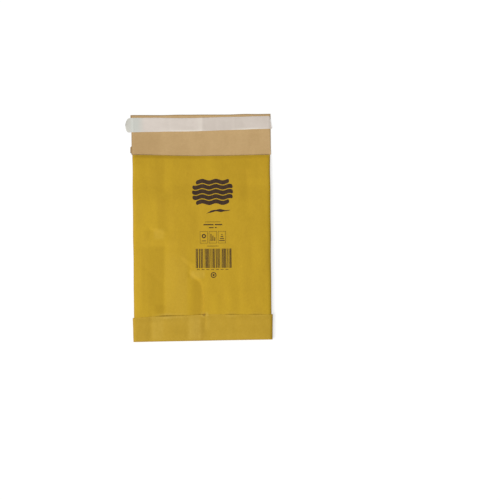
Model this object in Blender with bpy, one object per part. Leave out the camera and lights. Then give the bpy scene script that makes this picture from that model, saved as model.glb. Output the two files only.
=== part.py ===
"""A padded paper mailer, lying open on its address side.

Metres, +Z up. +X runs across the mailer, +Y from its folded foot to the top edge
of its open flap, and z = 0 is the surface that it lies on. The origin is in the
middle of the flat resting face.
"""

import math
from collections.abc import Callable
from itertools import pairwise
from typing import NamedTuple

import bmesh
import bpy

# The open mailer, seen from above
OPEN_LENGTH = 0.305  # foot to the top edge of the open flap
BODY_WIDTH = 0.184
FLAP_LENGTH = 0.055  # on the middle line, from the mouth to the top edge
FLAP_OVERHANG = 0.0015  # how far the flap stands out past each side of the body
MOUTH_SLANT = -0.0024  # the mouth's right end against its left end
FOOT_SLANT = 0.0016  # the same for the foot

# Layers, from the outside in
PADDED_WALL = 0.00205
CLEARANCE = 0.0003  # between pieces that lie on each other
LINING = 0.00025
FLAP_SHEET = 0.0006  # outer sheet of the flap, which has no padding

# The lying body: how far the walls stand apart and how its edges turn
MIDDLE_GAP = 0.0058  # clear height of the pocket on the middle line
SIDE_GAP = 0.0008  # clear height of the pocket along the side folds
SQUARENESS = 4  # how squarely the pocket's section keeps its middle height
SIDE_LIFT = 0.0008  # how high the flat underside rises at the side folds
LIFT_REACH = 0.03  # width of the strip along each side over which it rises
SIDE_ROUND = 0.0045  # reach of the rounding at each side fold
FOOT_ROUND = 0.003  # reach of the rounding at the folded foot
FOOT_EDGE = 0.0016  # thickness of the very edge of the foot
FOOT_SWELL = 0.045  # length over which the body swells up from the foot
POCKET_FOOT = 0.012  # from the foot to the closed end of the pocket
WAVE_HEIGHT = 0.00035  # soft waves in the padded back
WAVE_ACROSS = 0.118
WAVE_ALONG = 0.151
LIP_ROUND = 0.0008  # rounding of the back wall's lip at the mouth

# Lap seam down the back and the turned-up foot
SEAM_OFFSET = 0.002  # right of the middle line
SEAM_STEP = 0.0007
SEAM_FADE = 0.028  # width over which the lapped sheet levels out again
TURN_UP_LEFT = 0.031  # height of the turned-up foot at the left side
TURN_UP_SEAM = 0.0345  # and from the seam to the right side
TURN_UP_STEP = 0.0011
TURN_UP_REACH = 0.0015  # how far it stands out past each side of the body
STEP_RUN = 0.0003  # width of the riser of a step between sheets

# Flap: where the padding runs out, its ear at the left and its crease underneath
FLAP_EASE = 0.008
EAR_REACH = 0.002
EAR_LENGTH = 0.009
EAR_SLOPE = 0.002
CREASE_ABOVE_MOUTH = 0.017
CREASE_WIDTH = 0.003
CREASE_DEPTH = 0.0002

# Adhesive strip on the flap and the release liner over it
LINER_WIDTH = 0.0182
LINER_SHEET = 0.0002
LINER_BELOW_TOP = 0.0034
LINER_TAB = 0.009  # pull tab past the flap's left edge
LINER_TAIL = 0.0011  # past the flap's right edge
TAB_ROUND = 0.005
LINER_TILT = math.radians(0.45)
ADHESIVE_FILM = 0.00015
ADHESIVE_INSET = 0.0016  # liner's long edges to the adhesive's
ADHESIVE_END = 0.003  # flap's side edges to the adhesive's ends

# How finely the soft surfaces are divided
HALF_COLUMNS = 12
FOOT_ROWS = 8
BODY_ROWS = 11
POCKET_SHARES = (0, 0.04, 0.1, 0.2, 0.45, 0.72, 1)
FLAP_SHARES = (0.55, 0.78, 1)
TAB_STEPS = 14
SHARP_EDGE = math.radians(40)

# Finishes: base colour, roughness
YELLOW_KRAFT = ("yellow_kraft", (0.52, 0.32, 0.028), 0.8)
TAN_KRAFT = ("tan_kraft", (0.52, 0.35, 0.16), 0.85)
CLEAR_ADHESIVE = ("clear_adhesive", (0.62, 0.5, 0.3), 0.35)
COATED_PAPER = ("coated_paper", (0.66, 0.59, 0.53), 0.5)

HALF_BODY = BODY_WIDTH / 2
HALF_LENGTH = OPEN_LENGTH / 2
HALF_FLAP = HALF_BODY + FLAP_OVERHANG
LAYERS = PADDED_WALL + CLEARANCE + LINING
LINING_FLOOR = FLAP_SHEET + CLEARANCE  # height of the lining's underside on the flap
FLAP_TOP = LINING_FLOOR + LINING


class Row(NamedTuple):
    """A row of vertices across the body."""

    line: Callable[[float], float]  # gives the row's y at an x
    turned_up: bool = False  # whether the turned-up foot lies on the back here
    drop: float = 0.0  # how far the back is rounded down here


def clear_scene():
    """Empties the scene."""
    for thing in list(bpy.data.objects):
        bpy.data.objects.remove(thing)


def smooth(share):
    """Eases from 0 to 1 as share goes from 0 to 1."""
    share = min(max(share, 0.0), 1.0)
    return share * share * (3 - 2 * share)


def quarter_round(share):
    """Rises from 0 to 1 along a quarter circle."""
    share = min(max(share, 0.0), 1.0)
    return math.sqrt(1 - (1 - share) ** 2)


def foot_y(x):
    """The foot's edge."""
    return -HALF_LENGTH + FOOT_SLANT * x / BODY_WIDTH


def turn_up_y(x):
    """The upper edge of the turned-up foot."""
    across = min(1.0, (x + HALF_BODY) / (SEAM_OFFSET + HALF_BODY))
    return foot_y(x) + TURN_UP_LEFT + (TURN_UP_SEAM - TURN_UP_LEFT) * across


def mouth_y(x):
    """The lip of the mouth."""
    return HALF_LENGTH - FLAP_LENGTH + MOUTH_SLANT * x / BODY_WIDTH


def between(start, end, share, offset=0.0):
    """The line that lies at a share of the way from one line to another."""
    return lambda x: start(x) + share * (end(x) - start(x)) + offset


def flap_y(from_mouth, x, trim):
    """The place along the flap, whose slant at the mouth runs out at its top edge."""
    top = HALF_LENGTH - trim
    return mouth_y(x) + from_mouth / FLAP_LENGTH * (top - mouth_y(x))


def column_shares():
    """Places across the body, as shares of its half width: close together at the side folds."""
    left, right = SEAM_OFFSET - STEP_RUN / 2, SEAM_OFFSET + STEP_RUN / 2
    shares = []
    for step in range(HALF_COLUMNS + 1):
        spread = (step / HALF_COLUMNS) ** 2
        shares.append((-HALF_BODY + (HALF_BODY + left) * spread) / HALF_BODY)
    for step in range(HALF_COLUMNS, -1, -1):
        spread = (step / HALF_COLUMNS) ** 2
        shares.append((HALF_BODY - (HALF_BODY - right) * spread) / HALF_BODY)
    return shares


def pocket_gap(x, y):
    """Clear height between the two linings."""
    across = (min(abs(x), HALF_BODY) / HALF_BODY) ** SQUARENESS
    along = quarter_round((y - foot_y(x)) / FOOT_SWELL)
    return (MIDDLE_GAP + (SIDE_GAP - MIDDLE_GAP) * across) * along


def underside_lift(x):
    """How high the underside stands over the resting plane."""
    return SIDE_LIFT * smooth(1 - (HALF_BODY - abs(x)) / LIFT_REACH)


def relief(x, y, turned_up):
    """Height that the seam, the turned-up foot and soft waves add to the back."""
    height = TURN_UP_STEP if turned_up else 0.0
    past_seam = x - SEAM_OFFSET
    if past_seam > 0:
        height += SEAM_STEP * (1 - smooth(past_seam / SEAM_FADE))
    across = math.sin(2 * math.pi * x / WAVE_ACROSS)
    along = math.cos(2 * math.pi * (y + x / 2) / WAVE_ALONG)
    return height + WAVE_HEIGHT * across * along


def body_point(share, row, depth, side, dressed):
    """A point of the body's tube.

    share is its place across, depth how far it lies below the outside, and side is 1
    for the back and -1 for the front. A dressed surface has the back's relief.
    """
    half_width = HALF_BODY - depth + (TURN_UP_REACH if row.turned_up else 0.0)
    x = share * half_width
    y = row.line(x)
    half_height = LAYERS + pocket_gap(x, y) / 2
    middle = underside_lift(x) + half_height
    rounding = quarter_round((half_width - abs(x)) / SIDE_ROUND)
    if dressed:
        foot = quarter_round((y - foot_y(x)) / FOOT_ROUND)
        rounding *= foot + (1 - foot) * FOOT_EDGE / (2 * half_height)
    rise = half_height - depth
    if dressed and side > 0:
        rise += relief(x, y, row.turned_up) - row.drop
    return x, y, middle + side * rounding * rise


def body_chains(bm, row, depth, dressed):
    """One row of the tube: its front and back chains of vertices, which share their ends."""
    shares = column_shares()
    front = [bm.verts.new(body_point(share, row, depth, -1, dressed)) for share in shares]
    back = [bm.verts.new(body_point(share, row, depth, 1, dressed)) for share in shares[1:-1]]
    return front, [front[0], *back, front[-1]]


def ear(from_mouth):
    """How far the left edge of the flap stands out just above the mouth."""
    rise = smooth(from_mouth / EAR_SLOPE)
    fall = smooth((from_mouth - EAR_LENGTH) / EAR_SLOPE)
    return EAR_REACH * (rise - fall)


def flap_chain(bm, from_mouth, depth, rest_height, trim, creased):
    """One chain of vertices across a face of the flap.

    depth is where the same face lies in the body's front wall, and rest_height its
    height where the flap is flat. trim draws a layer's edges in.
    """
    chain = []
    settled = smooth(from_mouth / FLAP_EASE)
    for share in column_shares():
        half_width = HALF_FLAP - trim
        if share < 0:
            half_width += ear(from_mouth)
        x = share * half_width
        start = body_point(share, Row(mouth_y), depth, -1, False)[2]
        z = start + (rest_height - start) * settled
        if creased and from_mouth == CREASE_ABOVE_MOUTH:
            z += CREASE_DEPTH
        chain.append(bm.verts.new((x, flap_y(from_mouth, x, trim), z)))
    return chain


def skin(bm, near, far):
    """Faces between two chains of vertices, which may share some of them."""
    for (a, b), (d, c) in zip(pairwise(near), pairwise(far)):
        corners = list(dict.fromkeys((a, b, c, d)))
        if len(corners) > 2:
            bm.faces.new(corners)


def outer_rows():
    """Rows of the mailer's outside, close together at the foot."""
    rows = []
    for step in range(FOOT_ROWS):
        rows.append(Row(between(foot_y, turn_up_y, (step / FOOT_ROWS) ** 2), turned_up=True))
    rows.append(Row(between(foot_y, turn_up_y, 1, -STEP_RUN / 2), turned_up=True))
    rows.append(Row(between(foot_y, turn_up_y, 1, STEP_RUN / 2)))
    for step in range(1, BODY_ROWS):
        rows.append(Row(between(turn_up_y, mouth_y, step / BODY_ROWS)))
    rows.append(Row(between(turn_up_y, mouth_y, 1, -LIP_ROUND)))
    rows.append(Row(mouth_y, drop=LIP_ROUND))
    return rows


def pocket_rows(start):
    """Rows of a surface inside the pocket, which starts this far from the foot."""
    floor = between(foot_y, foot_y, 0, start)
    return [Row(between(floor, mouth_y, share)) for share in POCKET_SHARES]


def flap_rows():
    """Distances of the flap's rows from the mouth, with three of them at the crease."""
    rows = [EAR_SLOPE, (EAR_SLOPE + EAR_LENGTH) / 2, EAR_LENGTH, EAR_LENGTH + EAR_SLOPE]
    rows += [CREASE_ABOVE_MOUTH + step * CREASE_WIDTH / 2 for step in (-1, 0, 1)]
    rows += [share * FLAP_LENGTH for share in FLAP_SHARES]
    return sorted(rows)


def pouch(name, finish, depths, flap_heights, start, trim, dressed):
    """A pocket closed at its foot, whose front wall runs on as the flap.

    depths are those of its outer and inner face in the body's walls, flap_heights
    those of its lower and upper face on the flap, and start is the distance from the
    foot to its inner face's closed end.
    """
    outside, inside = depths
    bm = bmesh.new()
    rows = outer_rows() if dressed else pocket_rows(start - (inside - outside))
    outer = [body_chains(bm, row, outside, dressed) for row in rows]
    inner = [body_chains(bm, row, inside, False) for row in pocket_rows(start)]
    for tube in (outer, inner):
        skin(bm, *tube[0])
        for (near_front, near_back), (far_front, far_back) in pairwise(tube):
            skin(bm, near_front, far_front)
            skin(bm, near_back, far_back)
    skin(bm, outer[-1][1], inner[-1][1])
    faces = [(outer[-1][0], inner[-1][0])]
    for row in flap_rows():
        under = flap_chain(bm, row, outside, flap_heights[0], trim, dressed)
        over = flap_chain(bm, row, inside, flap_heights[1], trim, False)
        faces.append((under, over))
    for (near_under, near_over), (far_under, far_over) in pairwise(faces):
        skin(bm, near_under, far_under)
        skin(bm, near_over, far_over)
        for end in (0, -1):
            skin(bm, (near_under[end], near_over[end]), (far_under[end], far_over[end]))
    skin(bm, *faces[-1])
    return finished(name, bm, finish)


def plate(name, finish, outline, thickness):
    """A flat sheet of this outline, on the object's own z = 0."""
    bm = bmesh.new()
    sheet = bm.faces.new([bm.verts.new((x, y, 0)) for x, y in outline])
    raised = bmesh.ops.extrude_face_region(bm, geom=[sheet])["geom"]
    tops = [item for item in raised if isinstance(item, bmesh.types.BMVert)]
    bmesh.ops.translate(bm, vec=(0, 0, thickness), verts=tops)
    return finished(name, bm, finish)


def paint(finish):
    """The material of a finish."""
    name, colour, roughness = finish
    material = bpy.data.materials.new(name)
    material.use_nodes = True
    shader = material.node_tree.nodes["Principled BSDF"]
    shader.inputs["Base Color"].default_value = (*colour, 1)
    shader.inputs["Roughness"].default_value = roughness
    shader.inputs["Metallic"].default_value = 0
    return material


def finished(name, bm, finish):
    """Turns a closed bmesh into an object with its finish."""
    bmesh.ops.recalc_face_normals(bm, faces=bm.faces)
    mesh = bpy.data.meshes.new(name)
    bm.to_mesh(mesh)
    bm.free()
    mesh.shade_smooth()
    mesh.set_sharp_from_angle(angle=SHARP_EDGE)
    mesh.materials.append(paint(finish))
    piece = bpy.data.objects.new(name, mesh)
    bpy.context.collection.objects.link(piece)
    return piece


def padded_wallet():
    """The yellow padded sheet: one piece, folded and glued to a pocket with a flap."""
    return pouch(
        "padded_wallet",
        YELLOW_KRAFT,
        depths=(0.0, PADDED_WALL),
        flap_heights=(0.0, FLAP_SHEET),
        start=POCKET_FOOT,
        trim=0.0,
        dressed=True,
    )


def inner_ply():
    """The tan lining of the pocket and of the flap's inner face."""
    outside = PADDED_WALL + CLEARANCE
    return pouch(
        "inner_ply",
        TAN_KRAFT,
        depths=(outside, outside + LINING),
        flap_heights=(LINING_FLOOR, FLAP_TOP),
        start=POCKET_FOOT + CLEARANCE + LINING,
        trim=CLEARANCE,
        dressed=False,
    )


def strip_middle_y():
    """The middle line of the adhesive strip and its liner, in the middle of the flap."""
    return HALF_LENGTH - LINER_BELOW_TOP - LINER_WIDTH / 2


def adhesive_strip():
    """The film of adhesive along the flap's top edge."""
    half_length = HALF_FLAP - ADHESIVE_END
    half_width = LINER_WIDTH / 2 - ADHESIVE_INSET
    outline = [(-half_length, -half_width), (half_length, -half_width)]
    outline += [(half_length, half_width), (-half_length, half_width)]
    strip = plate("adhesive_strip", CLEAR_ADHESIVE, outline, ADHESIVE_FILM)
    strip.location = (0, strip_middle_y(), FLAP_TOP + CLEARANCE)
    strip.rotation_euler = (0, 0, LINER_TILT)
    return strip


def release_liner():
    """The peel-off strip over the adhesive, with a rounded pull tab at the left."""
    half_width = LINER_WIDTH / 2
    right = HALF_FLAP + LINER_TAIL
    tab = -HALF_FLAP - LINER_TAB + TAB_ROUND
    outline = [(right, -half_width), (right, half_width)]
    for step in range(TAB_STEPS + 1):
        angle = math.pi * (0.5 + step / TAB_STEPS)
        outline.append((tab + TAB_ROUND * math.cos(angle), half_width * math.sin(angle)))
    liner = plate("release_liner", COATED_PAPER, outline, LINER_SHEET)
    liner.location = (0, strip_middle_y(), FLAP_TOP + 2 * CLEARANCE + ADHESIVE_FILM)
    liner.rotation_euler = (0, 0, LINER_TILT)
    return liner


def main():
    """Builds the mailer under one empty at its origin."""
    clear_scene()
    mailer = bpy.data.objects.new("mailer", None)
    bpy.context.collection.objects.link(mailer)
    for piece in (padded_wallet(), inner_ply(), adhesive_strip(), release_liner()):
        piece.parent = mailer


main()
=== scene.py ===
"""A padded paper mailer that lies open on its address side, seen from straight above.

Metres, +Z up, in the frame's own axes: +X runs across the mailer, +Y from its folded
foot to the top edge of its open flap, and z = 0 is the surface that it lies on.
"""

import logging
import math
from collections.abc import Callable, Iterable, Sequence
from dataclasses import dataclass, field
from enum import Enum
from itertools import pairwise
from typing import Any

import bmesh
import bpy
import numpy as np
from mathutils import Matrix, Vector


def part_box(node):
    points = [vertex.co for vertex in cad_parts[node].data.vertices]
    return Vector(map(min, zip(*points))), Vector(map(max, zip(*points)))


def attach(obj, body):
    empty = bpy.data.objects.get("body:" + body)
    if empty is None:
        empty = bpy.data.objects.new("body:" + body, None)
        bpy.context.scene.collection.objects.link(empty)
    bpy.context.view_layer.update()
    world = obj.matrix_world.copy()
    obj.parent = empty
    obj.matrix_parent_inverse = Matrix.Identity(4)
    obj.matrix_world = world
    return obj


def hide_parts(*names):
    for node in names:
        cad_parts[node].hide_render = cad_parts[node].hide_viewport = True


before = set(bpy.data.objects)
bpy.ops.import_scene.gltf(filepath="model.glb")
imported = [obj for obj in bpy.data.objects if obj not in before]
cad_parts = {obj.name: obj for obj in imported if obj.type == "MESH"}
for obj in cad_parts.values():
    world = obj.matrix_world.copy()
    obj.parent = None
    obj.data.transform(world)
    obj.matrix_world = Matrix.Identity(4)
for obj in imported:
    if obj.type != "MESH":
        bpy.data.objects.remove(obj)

Array = np.ndarray
Colour = tuple[float, float, float]
Place = tuple[float, float]
Line = Callable[[Array], Array]

LOG = logging.getLogger("mailer")
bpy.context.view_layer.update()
BODY = "root"
SHARP_EDGE = math.radians(38)
BODY_INSET = 0.0009
FLAP_OVERHANG = 0.0003
CROWDING = 1.7
HALF = 0.5
NOISE_ROUGHNESS = 0.55
# Sockets of a Mix node that mixes colours.
MIX_COLOURS = (6, 7)
MIX_RESULT = 2
SEEN_RAYS = ("Is Camera Ray", "Is Glossy Ray", "Is Transmission Ray")
WHITE = (1.0, 1.0, 1.0, 1.0)


class Layer(Enum):
    """Which sheet a row of points on the back belongs to."""

    BACK = "back"
    TURNED_UP = "turned_up"
    UNDERSIDE = "underside"


class Grain(Enum):
    """The way a paper's fibres run, as noise cells per metre along x, y and z."""

    ALONG = (1500.0, 190.0, 1500.0)
    ACROSS = (190.0, 1500.0, 1500.0)


def ease(share: Array) -> Array:
    """Eases from 0 to 1 as share goes from 0 to 1."""
    share = np.clip(share, 0.0, 1.0)
    return share * share * (3 - 2 * share)


def quarter_round(share: Array) -> Array:
    """Rises from 0 to 1 along a quarter circle."""
    share = np.clip(share, 0.0, 1.0)
    return np.sqrt(1 - (1 - share) ** 2)


def hump(distance: Array, width: float) -> Array:
    """A smooth bump of height 1 at distance 0."""
    return np.exp(-((distance / width) ** 2))


def stations(start: float, end: float, step: float) -> Array:
    """Evenly spread places from start to end, about a step apart, both ends included."""
    return np.linspace(start, end, max(2, round(abs(end - start) / step) + 1))


def crowded(reach: float, count: int, power: float = CROWDING) -> Array:
    """Places from 0 to reach that crowd towards 0."""
    return reach * np.linspace(0, 1, count) ** power


@dataclass(frozen=True)
class WaveField:
    """A smooth random relief, made of plane waves with seeded headings and phases.

    height is its root-mean-square height, shortest and longest are its wavelengths,
    and stretch says how much longer its forms are along the mailer than across.
    """

    seed: int
    height: float
    shortest: float
    longest: float
    stretch: float = 1.0
    waves: int = 30

    def at(self, x: Array, y: Array) -> Array:
        """Height of the relief.

        Args:
            x: Places across the mailer.
            y: Places along it.

        Returns:
            The height at each place.
        """
        rng = np.random.default_rng(self.seed)
        total = np.zeros(np.broadcast(x, y).shape)
        for heading, phase, pick in rng.random((self.waves, 3)):
            length = self.shortest * (self.longest / self.shortest) ** pick
            angle = 2 * math.pi * heading
            along = math.cos(angle) * x + math.sin(angle) * y / self.stretch
            total += np.sin(2 * math.pi * (along / length + phase))
        return self.height * total * math.sqrt(2 / self.waves)


@dataclass(frozen=True)
class Crease:
    """A mark pressed in the padded paper along a path of straight stretches.

    hollow is its depth, or minus a ridge's height, width is how far its flanks reach,
    and bend is the radius at its bottom. step is how much higher the paper lies on the
    path's left than on its right, and taper is how soon the mark dies away past its ends.
    """

    path: tuple[Place, ...]
    width: float
    bend: float = 0.0012
    hollow: float = 0.0
    step: float = 0.0
    taper: float = 0.006

    def offsets(self, x: Array, y: Array) -> tuple[Array, Array]:
        """How far each place lies to the path's left, and how far past its ends.

        Args:
            x: Places across the mailer.
            y: Places along it.

        Returns:
            The signed distance from the path, and the distance past its ends.
        """
        across = np.full(np.broadcast(x, y).shape, np.inf)
        beyond = np.zeros_like(across)
        last = len(self.path) - 2
        for number, (start, end) in enumerate(pairwise(self.path)):
            run = np.subtract(end, start)
            length = float(np.hypot(*run))
            off_x, off_y = x - start[0], y - start[1]
            along = (off_x * run[0] + off_y * run[1]) / length
            left = (off_y * run[0] - off_x * run[1]) / length
            before = np.maximum(-along, 0.0)
            after = np.maximum(along - length, 0.0)
            short = (before if number > 0 else 0.0) + (after if number < last else 0.0)
            off = np.copysign(np.hypot(left, short), left)
            nearer = np.abs(off) < np.abs(across)
            across = np.where(nearer, off, across)
            beyond = np.where(nearer, np.maximum(before, after), beyond)
        return across, beyond

    def at(self, x: Array, y: Array) -> Array:
        """Height that the crease adds.

        Args:
            x: Places across the mailer.
            y: Places along it.

        Returns:
            The height at each place.
        """
        across, beyond = self.offsets(x, y)
        flank = np.exp((self.bend - np.hypot(across, self.bend)) / self.width)
        height = (self.step / 2 * np.tanh(across / self.bend) - self.hollow) * flank
        return height * hump(beyond, self.taper)


@dataclass(frozen=True)
class Tint:
    """A soft-edged upright patch of paper that is duller or paler than the rest.

    side and end are how wide its borders are across and along the mailer; dull and pale
    are how strongly the darker and the paler tone of the finish show in it: painted shade
    and painted sheen where the relief turns from or towards the light, with some paper tone.
    """

    left: float
    right: float
    low: float
    high: float
    dull: float = 0.0
    pale: float = 0.0
    side: float = 0.003
    end: float = 0.012

    def at(self, x: Array, y: Array) -> Array:
        """1 inside the patch, 0 outside."""
        across = ease((x - self.left) / self.side + HALF) * ease((self.right - x) / self.side + HALF)
        return across * ease((y - self.low) / self.end + HALF) * ease((self.high - y) / self.end + HALF)


# Valleys and folds pressed in the back, from the mouth to the turned-up foot.
BACK_CREASES = (
    Crease(((-0.0497, 0.0930), (-0.0502, 0.0520)), 0.0065, 0.0018, hollow=0.0006),
    Crease(((-0.0435, 0.0430), (-0.0446, 0.0000)), 0.0070, 0.0018, hollow=0.0007),
    Crease(((-0.0489, -0.0270), (-0.0506, -0.0542), (-0.0525, -0.1160)), 0.0150, 0.0012, hollow=0.0021),
    Crease(((-0.0820, -0.0350), (-0.0830, -0.1120)), 0.0150, 0.0060, hollow=-0.0008),
    Crease(((-0.0060, 0.0300), (-0.0080, -0.0410)), 0.0080, 0.0025, hollow=0.0003),
    Crease(((-0.0815, -0.0485), (-0.0548, -0.0758)), 0.0040, 0.0012, hollow=0.0003),
    Crease(((-0.0665, -0.0010), (-0.0525, -0.0065)), 0.0055, 0.0017, step=0.0011, taper=0.003),
    Crease(((-0.0620, -0.0065), (-0.0530, -0.0125)), 0.0045, 0.0014, step=0.0004, taper=0.003),
    Crease(((-0.0250, -0.0420), (-0.0170, -0.0500)), 0.0060, 0.0016, step=0.0010, taper=0.0035),
    Crease(((-0.0163, -0.0520), (-0.0166, -0.0620)), 0.0045, 0.0010, hollow=0.0008, taper=0.0035),
    Crease(((-0.0150, -0.0615), (-0.0030, -0.0710)), 0.0060, 0.0020, step=0.0013, taper=0.0035),
    Crease(((0.0599, 0.0700), (0.0634, 0.0161)), 0.0070, 0.0020, hollow=0.0006),
    Crease(((0.0460, -0.0280), (0.0505, -0.1140)), 0.0140, 0.0016, hollow=0.0011),
    Crease(((0.0339, -0.0982), (0.0560, -0.0900)), 0.0060, 0.0010, step=0.0006),
)

# Upright cockles in the turned-up foot.
FOOT_CREASES = (
    Crease(((-0.0694, -0.1215), (-0.0697, -0.1511)), 0.0095, 0.0012, hollow=0.0007),
    Crease(((-0.0195, -0.1193), (-0.0198, -0.1516)), 0.0065, 0.0011, hollow=0.0006),
    Crease(((0.0440, -0.1200), (0.0450, -0.1500)), 0.0080, 0.0014, hollow=0.0005),
)

# Duller and paler patches of the back and of the turned-up foot: painted shade and
# painted sheen over their relief, with some paper tone.
SHADE_AND_SHEEN_TINTS = (
    Tint(-0.0810, -0.0518, -0.1080, -0.0320, dull=0.13, side=0.006, end=0.030),
    Tint(-0.0730, -0.0518, -0.1250, -0.0260, dull=0.13, side=0.006, end=0.010),
    Tint(-0.0905, -0.0770, -0.1080, -0.0280, dull=0.11, side=0.006, end=0.020),
    Tint(-0.0630, -0.0500, -0.0310, -0.0150, dull=0.14, side=0.006, end=0.008),
    Tint(-0.0500, -0.0200, -0.1250, -0.0400, dull=0.08, pale=0.12, side=0.006, end=0.030),
    Tint(-0.0620, -0.0500, 0.0480, 0.1000, dull=0.14),
    Tint(-0.0590, -0.0485, -0.0020, 0.0400, dull=0.20, side=0.004),
    Tint(-0.0760, -0.0690, -0.0160, -0.0035, dull=0.14, side=0.005, end=0.008),
    Tint(-0.0640, -0.0510, -0.0150, -0.0020, pale=0.20, end=0.005, side=0.005),
    Tint(-0.0155, 0.0035, -0.0680, -0.0580, pale=0.30, end=0.006),
    Tint(0.0150, 0.0950, 0.0650, 0.1000, dull=0.12, side=0.010),
    Tint(-0.0900, 0.0900, 0.0370, 0.0560, dull=0.06, end=0.004),
    Tint(-0.0925, -0.0690, -0.1500, -0.1110, dull=0.12),
    Tint(-0.0685, -0.0530, -0.1500, -0.1190, pale=0.20, side=0.005),
    Tint(-0.0190, -0.0032, -0.1500, -0.1190, pale=0.27, side=0.007),
    Tint(-0.0018, 0.0048, -0.1500, -0.1190, dull=0.16, side=0.003),
    Tint(0.0052, 0.0100, -0.1360, -0.1190, pale=0.16, side=0.003),
    Tint(-0.0640, -0.0500, -0.1150, -0.1040, dull=0.22, side=0.006, end=0.005),
)


@dataclass(frozen=True)
class Streak:
    """A soft-edged line or ridge: its strength, how far off its middle lies, and its width."""

    strength: float
    offset: float
    width: float

    def at(self, distance: Array) -> Array:
        """Its strength at a distance from where it is measured."""
        return self.strength * hump(distance - self.offset, self.width)


@dataclass(frozen=True)
class Ramp:
    """An eased change from 0 at start to 1 a run further on; a run below 0 leads back."""

    start: float
    run: float

    def at(self, place: Array) -> Array:
        """How far the change has gone at a place."""
        return ease((place - self.start) / self.run)


def together(
    parts: Iterable[Streak | Crease | WaveField], *places: Array, start: Array | float = 0.0
) -> Array:
    """What several streaks, creases or reliefs add to the start at the same places."""
    return sum((part.at(*places) for part in parts), start)


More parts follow.
